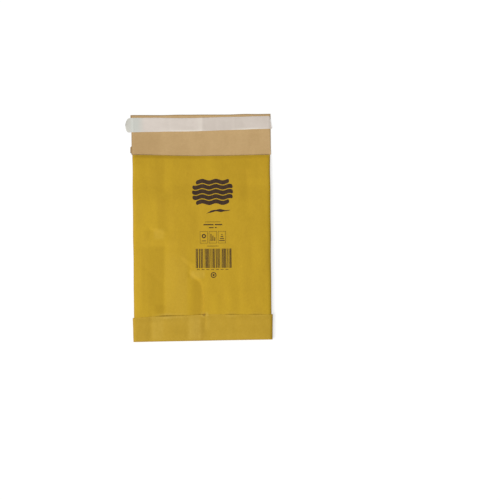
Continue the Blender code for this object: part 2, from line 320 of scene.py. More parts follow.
@dataclass(frozen=True)
class MailerForm:
    """The sizes of the lying mailer and the surfaces that all its sheets follow."""

    half_body: float
    half_flap: float
    half_length: float
    flap_length: float = 0.055
    mouth_slant: float = -0.0014
    mouth_drop: float = -0.0003
    mouth_bow: Streak = Streak(0.0015, 0.003, 0.050)
    foot_slant: float = 0.0016
    top_inset: float = 0.0003

    padded_wall: float = 0.00205
    lip_wall: float = 0.0004
    sheet_gap: float = 0.00005
    layer_gap: float = 0.0003
    lining: float = 0.00025
    flap_sheet: float = 0.00085

    middle_gap: float = 0.0058
    side_gap: float = 0.0008
    squareness: float = 4.0
    side_lift: float = 0.0008
    lift_reach: float = 0.03
    side_round: float = 0.0045
    foot_round: float = 0.0032
    foot_edge: float = 0.0012
    foot_swell: float = 0.012
    foot_share: float = 0.48
    body_swell: float = 0.12
    pocket_foot: float = 0.012
    long_fall: float = 0.58
    long_fall_from: float = -0.02
    long_fall_to: float = 0.098
    quick_fall: float = 0.385
    quick_fall_from: float = 0.031
    quick_fall_to: float = 0.061
    mouth_reach: float = 0.02
    mouth_sink: float = 0.0013
    lip_reach: float = 0.0060
    lip_round: float = 0.0003

    seam_x: float = 0.002
    seam_run: float = 0.00015
    seam_step: float = 0.0006
    seam_flat: float = 0.00008
    seam_fade: float = 0.024
    seam_step_run: float = 0.012
    seam_step_early: float = 0.6
    pucker: tuple[Place, ...] = (
        (0.0006, -0.0930),
        (0.0004, -0.0844),
        (-0.0014, -0.0745),
        (-0.0089, -0.0685),
        (-0.0163, -0.0630),
        (-0.0210, -0.0590),
    )
    pucker_run: float = 0.0030
    pucker_blend: float = 0.004
    pucker_wider: float = 0.4
    sunk_from: float = -0.0190
    sunk_top: float = -0.0575
    sunk_run: float = 0.022
    sunk_soft: float = 0.4
    sunk_least: float = 0.004
    sunk_depth: float = 0.0014
    settled: float = 0.3
    settled_reach: float = 0.007

    edge_sheet: float = 0.0003
    turn_up_step: float = 0.0010
    turn_up_ease: float = 0.008
    turn_up_reach: float = 0.0017
    turn_up_taper: float = 0.40
    turn_up_edge: tuple[Place, ...] = (
        (-0.0945, 0.0322),
        (-0.069, 0.0339),
        (-0.018, 0.0348),
        (-0.001, 0.0356),
        (0.0014, 0.0349),
        (0.0026, 0.0349),
        (0.0046, 0.0357),
        (0.044, 0.0348),
        (0.0945, 0.0338),
    )
    notch_x: float = 0.0024
    lifts: tuple[Streak, ...] = (
        Streak(0.0012, -0.0500, 0.0090),
        Streak(0.0005, -0.0330, 0.0120),
        Streak(0.0007, 0.0022, 0.0022),
        Streak(0.0006, 0.0390, 0.0070),
        Streak(0.0004, 0.0720, 0.0090),
    )
    lift_least: float = 0.00002
    lift_depth: float = 0.006
    lift_spread: float = 1.3

    flap_ease: float = 0.009
    ear_reach: float = 0.0017
    ear_start: float = 0.0016
    ear_end: float = 0.0105
    ear_slope: float = 0.002
    corner_flare: float = 0.0011
    flare_length: float = 0.024
    flap_edge_round: float = 0.0022
    strip_foot: float = 0.0222
    strip_bow: float = 0.0005
    strip_slope: float = 0.0055
    strip_early: float = 0.1
    crease_above_mouth: float = 0.017

    swell: WaveField = WaveField(3, 0.00022, 0.055, 0.13, 1.6)
    lumps: WaveField = WaveField(11, 0.00009, 0.014, 0.034, 2.0)
    cockle: WaveField = WaveField(23, 0.00002, 0.005, 0.010, 1.4)
    foot_lumps: WaveField = WaveField(31, 0.00010, 0.012, 0.034, 1.3)
    flap_waves: WaveField = WaveField(41, 0.00012, 0.035, 0.09, 0.8)
    edge_waves: WaveField = WaveField(53, 0.00018, 0.03, 0.09)
    side_waves: WaveField = WaveField(67, 0.00014, 0.03, 0.10)
    turn_up_wander: Place = (0.4, 0.0)
    mouth_wander: Place = (0.5, 0.3)
    top_wander: Place = (0.8, 0.7)
    relief_side: float = 0.014
    relief_calm: float = 0.85
    foot_relief_side: float = 0.01
    back_creases: tuple[Crease, ...] = BACK_CREASES
    foot_creases: tuple[Crease, ...] = FOOT_CREASES

    tints: tuple[Tint, ...] = SHADE_AND_SHEEN_TINTS
    # Painted shade beside the seam, where the sunk paper turns from the light.
    seam_shade: float = 0.28
    seam_shade_side: float = 0.010
    seam_shade_end: float = 0.020
    # Painted shade along the lip, which rounds away from the light; less on the right.
    lip_shade: float = 0.42
    lip_shade_loss: float = 0.30
    lip_shade_ramp: Ramp = Ramp(-0.015, 0.03)
    lip_shade_line: Streak = Streak(1.0, 0.0018, 0.0022)
    # Painted light at the lip's edge, lifting the shadow of its step.
    lip_light: Streak = Streak(0.4, 0.0, 0.0012)
    gaping_lift: float = 0.0012
    # Painted shadow in the gap under the lifted turned-up edge and in its notch.
    gap_shadow: Streak = Streak(0.25, 0.0003, 0.0011)
    notch_shadow: Streak = Streak(0.75, 0.0, 0.0013)
    notch_depth: Streak = Streak(1.0, 0.0002, 0.0019)
    # Paler lines on both sides of the turned-up edge and beside its notch.
    gap_pale: float = 0.65
    gap_pale_lines: tuple[Streak, ...] = (Streak(1.0, -0.0024, 0.0010), Streak(0.9, 0.0021, 0.0009))
    notch_pale: Streak = Streak(0.7, 0.0, 0.0024)
    notch_pale_spots: tuple[Streak, ...] = (Streak(1.0, 0.0034, 0.0016), Streak(0.6, -0.0036, 0.0014))

    @property
    def layers(self) -> float:
        """Thickness of a padded wall with its lining."""
        return self.padded_wall + self.lining + self.layer_gap

    def wander(self, x: Array, edge: Place) -> Array:
        """How far an edge strays; edge is its share of the waves and the row it reads."""
        return edge[0] * self.edge_waves.at(x, np.full_like(x, edge[1]))

    def foot_y(self, x: Array) -> Array:
        """The foot's edge."""
        return -self.half_length + self.foot_slant * x / (2 * self.half_body)

    def turn_up_y(self, x: Array) -> Array:
        """The upper edge of the turned-up foot."""
        places, heights = zip(*self.turn_up_edge)
        return self.foot_y(x) + np.interp(x, places, heights) + self.wander(x, self.turn_up_wander)

    def turn_up_wider(self, y: float) -> float:
        """How far the turned-up foot stands out past the body's sides, most at its edge.

        Args:
            y: A place along the mailer.

        Returns:
            The distance on each side.
        """
        height = self.turn_up_edge[0][1]
        share = min(max((y + self.half_length) / height, 0.0), 1.0)
        return self.turn_up_reach * (self.turn_up_taper + (1 - self.turn_up_taper) * share)

    def side_wobble(self, y: float) -> float:
        """How far the side folds stray from straight."""
        return float(self.side_waves.at(np.zeros(1), np.full(1, y))[0])

    def mouth_y(self, x: Array) -> Array:
        """The lip of the mouth.

        Args:
            x: Places across the mailer.

        Returns:
            The lip's place along the mailer at each of them.
        """
        slant = self.mouth_slant * x / (2 * self.half_body)
        level = self.half_length - self.flap_length - self.mouth_drop
        return level - self.mouth_bow.at(x) + slant + self.wander(x, self.mouth_wander)

    def top_y(self, x: Array) -> Array:
        """The flap's top edge."""
        return self.half_length - self.top_inset + self.wander(x, self.top_wander)

    def pocket_gap(self, x: Array, y: Array) -> Array:
        """Clear height between the two linings, which sink together towards the mouth.

        Args:
            x: Places across the mailer.
            y: Places along it.

        Returns:
            The gap at each place.
        """
        across = np.clip(np.abs(x) / self.half_body, 0, 1) ** self.squareness
        from_foot = y - self.foot_y(x)
        along = self.foot_share * quarter_round(from_foot / self.foot_swell)
        along = along + (1 - self.foot_share) * ease(from_foot / self.body_swell)
        long_run = self.long_fall_to - self.long_fall_from
        fall = self.long_fall * ease((y - self.long_fall_from) / long_run)
        quick_run = self.quick_fall_to - self.quick_fall_from
        fall = fall + self.quick_fall * ease((y - self.quick_fall_from) / quick_run)
        return (self.middle_gap + (self.side_gap - self.middle_gap) * across) * along * (1 - fall)

    def beside_seam(self, x: Array, y: Array) -> tuple[Array, Array]:
        """Where the paper has sunk beside the seam, and where it stands up again.

        Args:
            x: Places across the mailer.
            y: Places along it.

        Returns:
            How far the paper has sunk, and 0 left of the seam's line, 1 right of it. The
            line is the lapped sheet's edge at the foot and a pucker further up.
        """
        across, along = zip(*reversed(self.pucker))
        line = np.interp(-y, np.negative(along), across)
        straight = ease((self.pucker[0][1] - y) / self.pucker_blend + 1)
        run = self.pucker_run * (1 + self.pucker_wider * straight)
        right = np.clip((x - line) / run + HALF, 0, 1)
        reach = np.maximum(line - self.sunk_from, self.sunk_least)
        share = np.clip((x - self.sunk_from) / reach, 0, 1)
        soft = self.sunk_soft
        sinking = np.where(share < soft, share**2 / (2 * soft), share - soft / 2) / (1 - soft / 2)
        return sinking * ease((self.sunk_top - y) / self.sunk_run), right

    def seam(self, x: Array, y: Array) -> Array:
        """Height of the lapped sheet over the sunk paper to its left.

        Args:
            x: Places across the mailer.
            y: Places along it.

        Returns:
            The height at each place.
        """
        sunk, right = self.beside_seam(x, y)
        low = ease((self.pucker[1][1] - y) / self.seam_step_run + self.seam_step_early)
        off_seam = x - self.seam_x
        lapped = self.seam_flat + (self.seam_step - self.seam_flat) * low
        lapped = lapped * (1 - ease(off_seam / self.seam_fade))
        lapped = lapped * np.clip(off_seam / self.seam_run + HALF, 0, 1)
        settled = self.settled * ease(1 - off_seam / self.settled_reach)
        return lapped - self.sunk_depth * sunk * (1 - right * (1 - settled))

    def damp(self, x: Array, y: Array) -> Array:
        """How much painted shade, mostly along the lip, and darker paper tone darken the back.

        Args:
            x: Places across the mailer.
            y: Places along it.

        Returns:
            The darkening at each place, from 0 to about 1.
        """
        sunk, right = self.beside_seam(x, y)
        beside = ease((x - self.sunk_from) / self.seam_shade_side) * (sunk > 0) * (1 - right)
        total = self.seam_shade * beside * ease((self.sunk_top - y) / self.seam_shade_end)
        lip = self.lip_shade - self.lip_shade_loss * self.lip_shade_ramp.at(x)
        total = total + lip * self.lip_shade_line.at(self.mouth_y(x) - y)
        return sum((tint.dull * tint.at(x, y) for tint in self.tints), total)

    def pale(self, x: Array, y: Array) -> Array:
        """How much the back is painted paler: light at the lip and sheen in the pale tints."""
        lip = self.lip_light.at(self.mouth_y(x) - y)
        return sum((tint.pale * tint.at(x, y) for tint in self.tints), lip)

    def gaping(self, x: Array) -> Array:
        """How far the turned-up edge stands open, from 0 to 1."""
        return np.clip(self.lift(x) / self.gaping_lift, 0, 1)

    def edge_shadow(self, x: Array, above: Array) -> Array:
        """Painted shadow in the gap along the turned-up edge and in the notch in it."""
        notch = self.notch_shadow.at(x - self.notch_x) * self.notch_depth.at(above)
        return self.gaping(x) * self.gap_shadow.at(above) + notch

    def edge_pale(self, x: Array, above: Array) -> Array:
        """Paler lines on both sides of the turned-up edge and beside its notch."""
        notch = together(self.notch_pale_spots, x - self.notch_x) * self.notch_pale.at(above)
        return self.gap_pale * self.gaping(x) * together(self.gap_pale_lines, above) + notch

    def near_mouth(self, x: Array, y: Array) -> Array:
        """1 at the lip, 0 where the padding has its full thickness."""
        return ease(1 - (self.mouth_y(x) - y) / self.mouth_reach)

    def relief(self, x: Array, y: Array) -> Array:
        """Height that swells, lumps and creases add to the back.

        Args:
            x: Places across the mailer.
            y: Places along it.

        Returns:
            The height at each place.
        """
        swells = together((self.swell, self.lumps), x, y)
        height = together(self.back_creases, x, y, start=swells)
        calm = 1 - self.relief_calm * self.near_mouth(x, y)
        inside = ease((self.half_body - np.abs(x)) / self.relief_side) * calm
        return height * inside + self.cockle.at(x, y)

    def foot_relief(self, x: Array, y: Array) -> Array:
        """Height that lumps and creases add to the turned-up foot."""
        height = together(self.foot_creases, x, y, start=self.foot_lumps.at(x, y))
        return height * ease((self.half_body - np.abs(x)) / self.foot_relief_side)

    def middle(self, x: Array, y: Array) -> tuple[Array, Array]:
        """The body's section.

        Args:
            x: Places across the mailer.
            y: Places along it.

        Returns:
            The height of the section's middle, and half its outer height.
        """
        half_height = self.layers + self.pocket_gap(x, y) / 2
        sunk = self.mouth_sink * self.near_mouth(x, y)
        return self.side_rise(x) + half_height - sunk, half_height

    def side_rise(self, x: Array) -> Array:
        """How far the sides stand off the table."""
        return self.side_lift * ease(1 - (self.half_body - np.abs(x)) / self.lift_reach)

    def back_z(self, x: Array, y: Array) -> Array:
        """Height of the back's outer face, away from its rounded edges."""
        middle, half_height = self.middle(x, y)
        return middle + half_height + self.relief(x, y) + self.seam(x, y)

    def lift(self, x: Array) -> Array:
        """How far the edge of the turned-up foot stands off the back."""
        return together(self.lifts, x, start=self.lift_least)

    def turn_up_rise(self, x: Array, below: Array) -> Array:
        """Height of the turned-up foot's face over the back.

        Args:
            x: Places across the mailer.
            below: How far they lie below the turned-up edge.

        Returns:
            The height at each place.
        """
        sheet = self.turn_up_step - self.edge_sheet
        raised = self.edge_sheet + sheet * ease(below / self.turn_up_ease)
        return raised + self.lift(x) * hump(below, self.lift_depth * self.lift_spread)

    def flap_half(self, side: Array, from_mouth: float) -> Array:
        """Half width of the flap, with its ear at the left and its wider top corner.

        Args:
            side: Below 0 at the left.
            from_mouth: Distance from the mouth.

        Returns:
            The half width on each side.
        """
        rise = ease(np.asarray((from_mouth - self.ear_start) / self.ear_slope))
        fall = ease(np.asarray((from_mouth - self.ear_end) / self.ear_slope))
        flare = ease(np.asarray(1 - (self.flap_length - from_mouth) / self.flare_length))
        left = self.ear_reach * (rise - fall) + self.corner_flare * flare
        return self.half_flap + np.where(side < 0, left, 0.0)

    def flap_y(self, from_mouth: float, x: Array, trim: float) -> Array:
        """The place along the flap, this far from the mouth on the middle line."""
        mouth = self.mouth_y(x)
        return mouth + from_mouth / self.flap_length * (self.top_y(x) - trim - mouth)

    def flap_rest(self, x: Array, y: Array) -> Array:
        """Height of the settled flap's underside.

        Args:
            x: Places across the mailer.
            y: Places along it.

        Returns:
            The height at each place.
        """
        from_top = self.half_length - y
        past_strip = ease((from_top - self.strip_foot) / self.strip_slope + self.strip_early)
        from_edge = np.minimum(from_top, self.half_flap - np.abs(x))
        height = self.strip_bow * (1 - past_strip) + np.abs(self.flap_waves.at(x, y))
        return height * ease(from_edge / self.flap_edge_round)

    def flap_z(self, x: Array, y: Array, above: float) -> Array:
        """Height of a face of the settled flap that lies this far over its underside."""
        return self.flap_rest(x, y) + above

    @property
    def flap_top(self) -> float:
        """Height of the lining's face over the flap's underside."""
        return self.flap_sheet + self.sheet_gap + self.lining


class Socket:
    """A number that a shader works out, with Python's own operators."""

    def __init__(self, graph: "Graph", output: bpy.types.NodeSocket) -> None:
        """Wraps one output of a node."""
        self.graph = graph
        self.output = output

    def _maths(self, operation: str, first: "Socket | float", second: "Socket | float") -> "Socket":
        """Adds the Math node of an operation."""
        made = self.graph.node("ShaderNodeMath", {"operation": operation}, {0: first, 1: second})
        return Socket(self.graph, made.outputs[0])

    def __add__(self, other: "Socket | float") -> "Socket":
        """self + other."""
        return self._maths("ADD", self, other)

    __radd__ = __add__

    def __sub__(self, other: "Socket | float") -> "Socket":
        """self - other."""
        return self._maths("SUBTRACT", self, other)

    def __rsub__(self, other: "Socket | float") -> "Socket":
        """other - self."""
        return self._maths("SUBTRACT", other, self)

    def __mul__(self, other: "Socket | float") -> "Socket":
        """self * other."""
        return self._maths("MULTIPLY", self, other)

    __rmul__ = __mul__

    def clamped(self) -> "Socket":
        """The number, kept between 0 and 1."""
        return self._maths("MAXIMUM", self._maths("MINIMUM", self, 1.0), 0.0)


@dataclass(frozen=True)
class Noise:
    """Noise of one scale in a finish.

    cells are its cells for each metre along x, y and z, detail is its octaves of finer
    noise, and shift moves it, so that two noises differ.
    """

    cells: tuple[float, float, float]
    detail: float
    shift: float


@dataclass(frozen=True)
class Sheen:
    """How a finish takes the light.

    swing is how much a noise adds to its roughness, and depth and strength are those of
    its fine relief.
    """

    roughness: float
    swing: float
    specular: float
    depth: float
    strength: float


class Graph:
    """The node tree of a material or of the world."""

    def __init__(self, owner: bpy.types.Material | bpy.types.World) -> None:
        """Empties the owner's node tree.

        Args:
            owner: The material or the world.
        """
        owner.use_nodes = True
        self.owner = owner
        self.tree = owner.node_tree
        self.tree.nodes.clear()

    def node(
        self,
        kind: str,
        settings: dict[str, Any] | None = None,
        inputs: dict[str | int, Any] | None = None,
    ) -> bpy.types.Node:
        """Adds one node.

        Args:
            kind: The node's type.
            settings: Its properties.
            inputs: Values or links for its sockets, by name or number.

        Returns:
            The node.
        """
        made = self.tree.nodes.new(kind)
        for key, value in (settings or {}).items():
            setattr(made, key, value)
        for key, value in (inputs or {}).items():
            if isinstance(value, Socket):
                value = value.output
            if isinstance(value, bpy.types.NodeSocket):
                self.tree.links.new(value, made.inputs[key])
            else:
                made.inputs[key].default_value = value
        return made

    def place(self) -> bpy.types.NodeSocket:
        """The shaded point in the frame's metres."""
        return self.node("ShaderNodeTexCoord").outputs["Object"]

    def noise(self, kind: Noise) -> Socket:
        """Smooth noise from about 0.2 to 0.8.

        Args:
            kind: Its scale, detail and shift.

        Returns:
            The noise's value.
        """
        scaled = self.node(
            "ShaderNodeVectorMath",
            {"operation": "MULTIPLY_ADD"},
            {0: self.place(), 1: kind.cells, 2: (kind.shift,) * 3},
        )
        inputs = {"Vector": scaled.outputs[0], "Scale": 1.0, "Detail": kind.detail}
        inputs["Roughness"] = NOISE_ROUGHNESS
        return Socket(self, self.node("ShaderNodeTexNoise", inputs=inputs).outputs["Fac"])

    def attribute(self, name: str) -> Socket:
        """A number that the mesh's points carry."""
        return Socket(self, self.node("ShaderNodeAttribute", {"attribute_name": name}).outputs["Fac"])

    def blend(
        self,
        factor: Socket,
        first: Colour | bpy.types.NodeSocket,
        second: Colour | bpy.types.NodeSocket,
    ) -> bpy.types.NodeSocket:
        """A colour between two.

        Args:
            factor: 0 for the first colour, 1 for the second.
            first: A colour or a link to one.
            second: The same.

        Returns:
            The mixed colour.
        """
        inputs = {0: factor.clamped()}
        for key, value in zip(MIX_COLOURS, (first, second)):
            inputs[key] = (*value, 1.0) if isinstance(value, tuple) else value
        made = self.node("ShaderNodeMix", {"data_type": "RGBA"}, inputs)
        return made.outputs[MIX_RESULT]

    def bump(self, height: Socket, distance: float, strength: float) -> bpy.types.NodeSocket:
        """A normal from a height in units of distance."""
        inputs = {"Height": height, "Distance": distance, "Strength": strength}
        return self.node("ShaderNodeBump", inputs=inputs).outputs["Normal"]

    def seen_as(self, lit: bpy.types.Node, seen: bpy.types.Node) -> bpy.types.NodeSocket:
        """A shader that lights the mailer as one shader and is seen as another.

        Args:
            lit: The shader that light bounces off or comes from.
            seen: The one that the camera sees, also by way of metal and glass.

        Returns:
            The mixed shader.
        """
        rays = self.node("ShaderNodeLightPath").outputs
        camera, *others = [Socket(self, rays[name]) for name in SEEN_RAYS]
        inputs = {0: sum(others, camera).clamped(), 1: lit.outputs[0], 2: seen.outputs[0]}
        return self.node("ShaderNodeMixShader", inputs=inputs).outputs[0]

    def surface(self, shader: bpy.types.NodeSocket) -> bpy.types.Material:
        """Ends a material's graph with this shader and returns the material."""
        self.node("ShaderNodeOutputMaterial", inputs={"Surface": shader})
        return self.owner

    def principled(
        self, sheen: Sheen, colour: bpy.types.NodeSocket, varying: Socket, relief: Socket
    ) -> bpy.types.Material:
        """Ends a material's graph with a Principled shader.

        Args:
            sheen: How the surface takes the light.
            colour: A link to its colour.
            varying: What its roughness varies with.
            relief: The height of its fine relief.

        Returns:
            The material.
        """
        inputs = {
            "Base Color": colour,
            "Roughness": sheen.roughness + varying * sheen.swing,
            "Specular IOR Level": sheen.specular,
            "Normal": self.bump(relief, sheen.depth, sheen.strength),
        }
        return self.surface(self.node("ShaderNodeBsdfPrincipled", inputs=inputs).outputs[0])


@dataclass(frozen=True)
class Kraft:
    """Kraft paper: clouded tone, fibre streaks, dark flecks, painted shade, sheen and shadow.

    tone_weights are the shares of drift, cloud, mottle and streak in the tone, and
    relief_weights those of streak, mottle and fine in the bump.
    """

    name: str
    dark: Colour
    light: Colour
    sheen_and_pale_tone: Colour
    damp: Colour
    cut: Colour
    fleck: Colour
    grain: Grain
    sheen: Sheen = Sheen(0.68, 0.2, 0.2, 0.00006, 0.8)
    drift: Noise = Noise((17.0, 5.0, 17.0), 2.0, 3.1)
    cloud: Noise = Noise((70.0, 26.0, 70.0), 3.0, 7.7)
    mottle: Noise = Noise((420.0, 300.0, 420.0), 3.0, 1.3)
    flecks: Noise = Noise((900.0, 2600.0, 900.0), 1.0, 11.3)
    fine: Noise = Noise((5200.0, 5200.0, 5200.0), 2.0, 2.2)
    streak_detail: float = 4.0
    streak_shift: float = 5.9
    tone_weights: tuple[float, ...] = (0.8, 0.8, 0.5, 0.55)
    shade_and_tone_base: float = 0.5
    fleck_from: float = 0.7
    fleck_gain: float = 9.0
    fleck_share: float = 0.35
    sheen_and_pale_base: float = 0.35
    relief_weights: tuple[float, float, float] = (0.5, 0.9, 0.25)

    def material(self) -> bpy.types.Material:
        """Makes the paper's material.

        Returns:
            The material.
        """
        graph = Graph(bpy.data.materials.new(self.name))
        drift, cloud, mottle = graph.noise(self.drift), graph.noise(self.cloud), graph.noise(self.mottle)
        streak = graph.noise(Noise(self.grain.value, self.streak_detail, self.streak_shift))
        tone = HALF
        for noise, weight in zip((drift, cloud, mottle, streak), self.tone_weights):
            tone = tone + (noise - HALF) * weight
        colour = graph.blend(tone, self.dark, self.light)
        # Painted shade, with some darker paper tone, where the mesh marks it.
        colour = graph.blend(graph.attribute("damp") * (self.shade_and_tone_base + cloud), colour, self.damp)
        flecks = ((graph.noise(self.flecks) - self.fleck_from) * self.fleck_gain).clamped()
        colour = graph.blend(flecks * self.fleck_share, colour, self.fleck)
        # Painted sheen and light, and paler lines, where the mesh marks them.
        colour = graph.blend(graph.attribute("wear") * (self.sheen_and_pale_base + mottle), colour, self.sheen_and_pale_tone)
        # Painted shadow in the turned-up edge's gap and notch, and along the flap's edges.
        colour = graph.blend(graph.attribute("cut"), colour, self.cut)
        of_streak, of_mottle, of_fine = self.relief_weights
        relief = streak * of_streak + mottle * of_mottle + graph.noise(self.fine) * of_fine
        return graph.principled(self.sheen, colour, cloud, relief)


@dataclass(frozen=True)
class ReleasePaper:
    """Silicone-coated release paper: off-white, cooler at its tab, with a soft sheen."""

    name: str
    warm: Colour
    cool: Colour
    shade: Colour
    bright: Colour
    cloud: Noise = Noise((30.0, 90.0, 30.0), 3.0, 4.4)
    fibre: Noise = Noise((700.0, 1500.0, 700.0), 3.0, 9.1)
    cloud_weight: float = 1.6
    shade_base: float = 0.1
    shade_weight: float = 0.9
    fibre_relief: float = 0.6
    sheen: Sheen = Sheen(0.4, 0.2, 0.45, 0.00008, 0.5)

    def material(self) -> bpy.types.Material:
        """Makes the paper's material.

        Returns:
            The material.
        """
        graph = Graph(bpy.data.materials.new(self.name))
        cloud, fibre = graph.noise(self.cloud), graph.noise(self.fibre)
        tone = (cloud - HALF) * self.cloud_weight + self.shade_base
        # Painted shade past the middle fold and along the upper edge.
        tone = tone + graph.attribute("shade") * self.shade_weight
        colour = graph.blend(tone, self.warm, self.shade)
        colour = graph.blend(graph.attribute("tab"), colour, self.cool)
        # Painted highlights along the lower edge and on the fold, and a brighter tab.
        colour = graph.blend(graph.attribute("edge"), colour, self.bright)
        return graph.principled(self.sheen, colour, fibre, fibre * self.fibre_relief + cloud)


@dataclass(frozen=True)
class TackyFilm:
    """The adhesive's thin amber film, uneven and glossy."""

    name: str
    thin: Colour
    thick: Colour
    pool: Noise = Noise((160.0, 420.0, 160.0), 3.0, 6.3)
    pool_weight: float = 2.0
    sheen: Sheen = Sheen(0.18, 0.25, 0.5, 0.0001, 1.0)

    def material(self) -> bpy.types.Material:
        """Makes the film's material.

        Returns:
            The material.
        """
        graph = Graph(bpy.data.materials.new(self.name))
        pool = graph.noise(self.pool)
        depth = (pool - HALF) * self.pool_weight + HALF
        return graph.principled(self.sheen, graph.blend(depth, self.thin, self.thick), pool, pool)


@dataclass(frozen=True)
class PrintInk:
    """Flexographic ink on kraft: dense, with pinholes where the paper's fibres show."""

    name: str
    ink: Colour
    worn: Colour
    cover: Noise = Noise((240.0, 150.0, 240.0), 3.0, 8.8)
    pinhole: Noise = Noise((2600.0, 1700.0, 2600.0), 3.0, 12.1)
    cover_from: float = 0.45
    cover_weight: float = 0.7
    hole_from: float = 0.6
    hole_gain: float = 6.0
    hole_weight: float = 0.4
    sheen: Sheen = Sheen(0.62, 0.2, 0.2, 0.00004, 0.6)

    def material(self) -> bpy.types.Material:
        """Makes the ink's material.

        Returns:
            The material.
        """
        graph = Graph(bpy.data.materials.new(self.name))
        cover, pinhole = graph.noise(self.cover), graph.noise(self.pinhole)
        holes = ((pinhole - self.hole_from) * self.hole_gain).clamped()
        thin = (cover - self.cover_from) * self.cover_weight + holes * self.hole_weight
        colour = graph.blend(thin, self.ink, self.worn)
        return graph.principled(self.sheen, colour, pinhole, pinhole)


@dataclass(frozen=True)
class StudioWhite:
    """The white floor: seen by the camera as white paper that still takes a soft shadow."""

    name: str
    albedo: float = 0.7
    seen_albedo: float = 0.40
    seen_glow: float = 0.64

    def material(self) -> bpy.types.Material:
        """Makes the floor's material.

        Returns:
            The material.
        """
        graph = Graph(bpy.data.materials.new(self.name))
        plain = graph.node("ShaderNodeBsdfDiffuse", inputs={"Color": (*[self.albedo] * 3, 1.0)})
        shaded = graph.node("ShaderNodeBsdfDiffuse", inputs={"Color": (*[self.seen_albedo] * 3, 1.0)})
        glow = graph.node("ShaderNodeEmission", inputs={"Strength": self.seen_glow})
        both = graph.node("ShaderNodeAddShader", inputs={0: shaded.outputs[0], 1: glow.outputs[0]})
        return graph.surface(graph.seen_as(plain, both))


Finish = Kraft | ReleasePaper | TackyFilm | PrintInk

YELLOW_KRAFT = Kraft(
    name="yellow_kraft",
    dark=(0.455, 0.273, 0.0120),
    light=(0.575, 0.365, 0.0200),
    sheen_and_pale_tone=(0.620, 0.420, 0.0700),
    damp=(0.360, 0.205, 0.0080),
    cut=(0.230, 0.130, 0.0300),
    fleck=(0.330, 0.180, 0.0100),
    grain=Grain.ALONG,
)
TAN_KRAFT = Kraft(
    name="tan_kraft",
    dark=(0.455, 0.295, 0.128),
    light=(0.590, 0.402, 0.195),
    sheen_and_pale_tone=(0.640, 0.450, 0.240),
    damp=(0.360, 0.220, 0.0900),
    cut=(0.230, 0.130, 0.0500),
    fleck=(0.280, 0.150, 0.0550),
    grain=Grain.ACROSS,
    fleck_share=0.5,
)
COATED_PAPER = ReleasePaper(
    name="coated_paper",
    warm=(0.655, 0.583, 0.520),
    cool=(0.550, 0.557, 0.508),
    shade=(0.580, 0.510, 0.448),
    bright=(0.790, 0.730, 0.640),
)
CLEAR_ADHESIVE = TackyFilm("clear_adhesive", thin=(0.58, 0.44, 0.24), thick=(0.50, 0.36, 0.17))
DARK_INK = PrintInk("dark_ink", ink=(0.036, 0.018, 0.010), worn=(0.150, 0.085, 0.030))
WHITE_FLOOR = StudioWhite("white_floor")


@dataclass
class Shell:
    """Gathers points and the faces between them into one closed mesh."""

    points: list[Array] = field(default_factory=list)
    marks: list[dict[str, Array]] = field(default_factory=list)
    faces: list[tuple[int, ...]] = field(default_factory=list)
    count: int = 0

    def add(self, x: Array, y: Array, z: Array, **marks: Array | float) -> Array:
        """Adds points and returns their numbers in the same order.

        Args:
            x: Places across.
            y: Places along.
            z: Heights.
            **marks: What the finish reads there, each from 0 to 1, such as painted shade or sheen.

        Returns:
            The points' numbers.
        """
        x = np.asarray(x, float)
        self.points.append(np.stack([x, y + 0 * x, z + 0 * x], axis=-1))
        self.marks.append({label: value + 0 * x for label, value in marks.items()})
        numbers = np.arange(self.count, self.count + len(x))
        self.count += len(x)
        return numbers

    def mark(self, label: str) -> Array:
        """One mark's values at all the points, 0 where a point has none."""
        pairs = zip(self.points, self.marks)
        return np.concatenate([marks.get(label, np.zeros(len(points))) for points, marks in pairs])

    def skin(self, near: Iterable[int], far: Iterable[int]) -> None:
        """Adds the faces between two chains of points, which may share some.

        Args:
            near: The first chain's point numbers.
            far: The second chain's, as many.
        """
        for (a, b), (d, c) in zip(pairwise(near), pairwise(far)):
            corners = tuple(dict.fromkeys((int(a), int(b), int(c), int(d))))
            if len(corners) > 2:
                self.faces.append(corners)

    def slab(self, top: Sequence[Array], bottom: Sequence[Array]) -> None:
        """Closes two equal grids of points into one thin plate.

        Args:
            top: Rows of the upper face's point numbers.
            bottom: Rows of the lower face's.
        """
        for rows in (top, bottom):
            for near, far in pairwise(rows):
                self.skin(near, far)
        for row in (0, -1):
            self.skin(top[row], bottom[row])
        for end in (0, -1):
            self.skin([row[end] for row in top], [row[end] for row in bottom])

    def build(self, name: str, finish: Finish, slot: str) -> bpy.types.Object:
        """Makes the object, rides it on the body and gives it its finish.

        Args:
            name: The piece's name.
            finish: What it is made of.
            slot: A material slot's name; not used.

        Returns:
            The object.
        """
        mesh = bpy.data.meshes.new(name)
        mesh.from_pydata(np.concatenate(self.points).tolist(), [], self.faces)
        for label in sorted({label for marks in self.marks for label in marks}):
            layer = mesh.attributes.new(label, "FLOAT", "POINT")
            layer.data.foreach_set("value", self.mark(label).astype(np.float32))
        bm = bmesh.new()
        bm.from_mesh(mesh)
        bmesh.ops.recalc_face_normals(bm, faces=bm.faces)
        bm.to_mesh(mesh)
        bm.free()
        mesh.shade_smooth()
        mesh.set_sharp_from_angle(angle=SHARP_EDGE)
        mesh.materials.append(finish.material())
        piece = bpy.data.objects.new(name, mesh)
        bpy.context.scene.collection.objects.link(piece)
        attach(piece, BODY)
        LOG.info("%s: %d points, %d faces", name, len(mesh.vertices), len(mesh.polygons))
        return piece


@dataclass(frozen=True)
class Row:
    """One ring of points round the body.

    line gives the y of its front and of its side folds. back_line gives that of its
    back away from the side folds, where the two differ.
    """

    line: Line
    layer: Layer = Layer.BACK
    back_line: Line | None = None
    bevel: float = 0.0


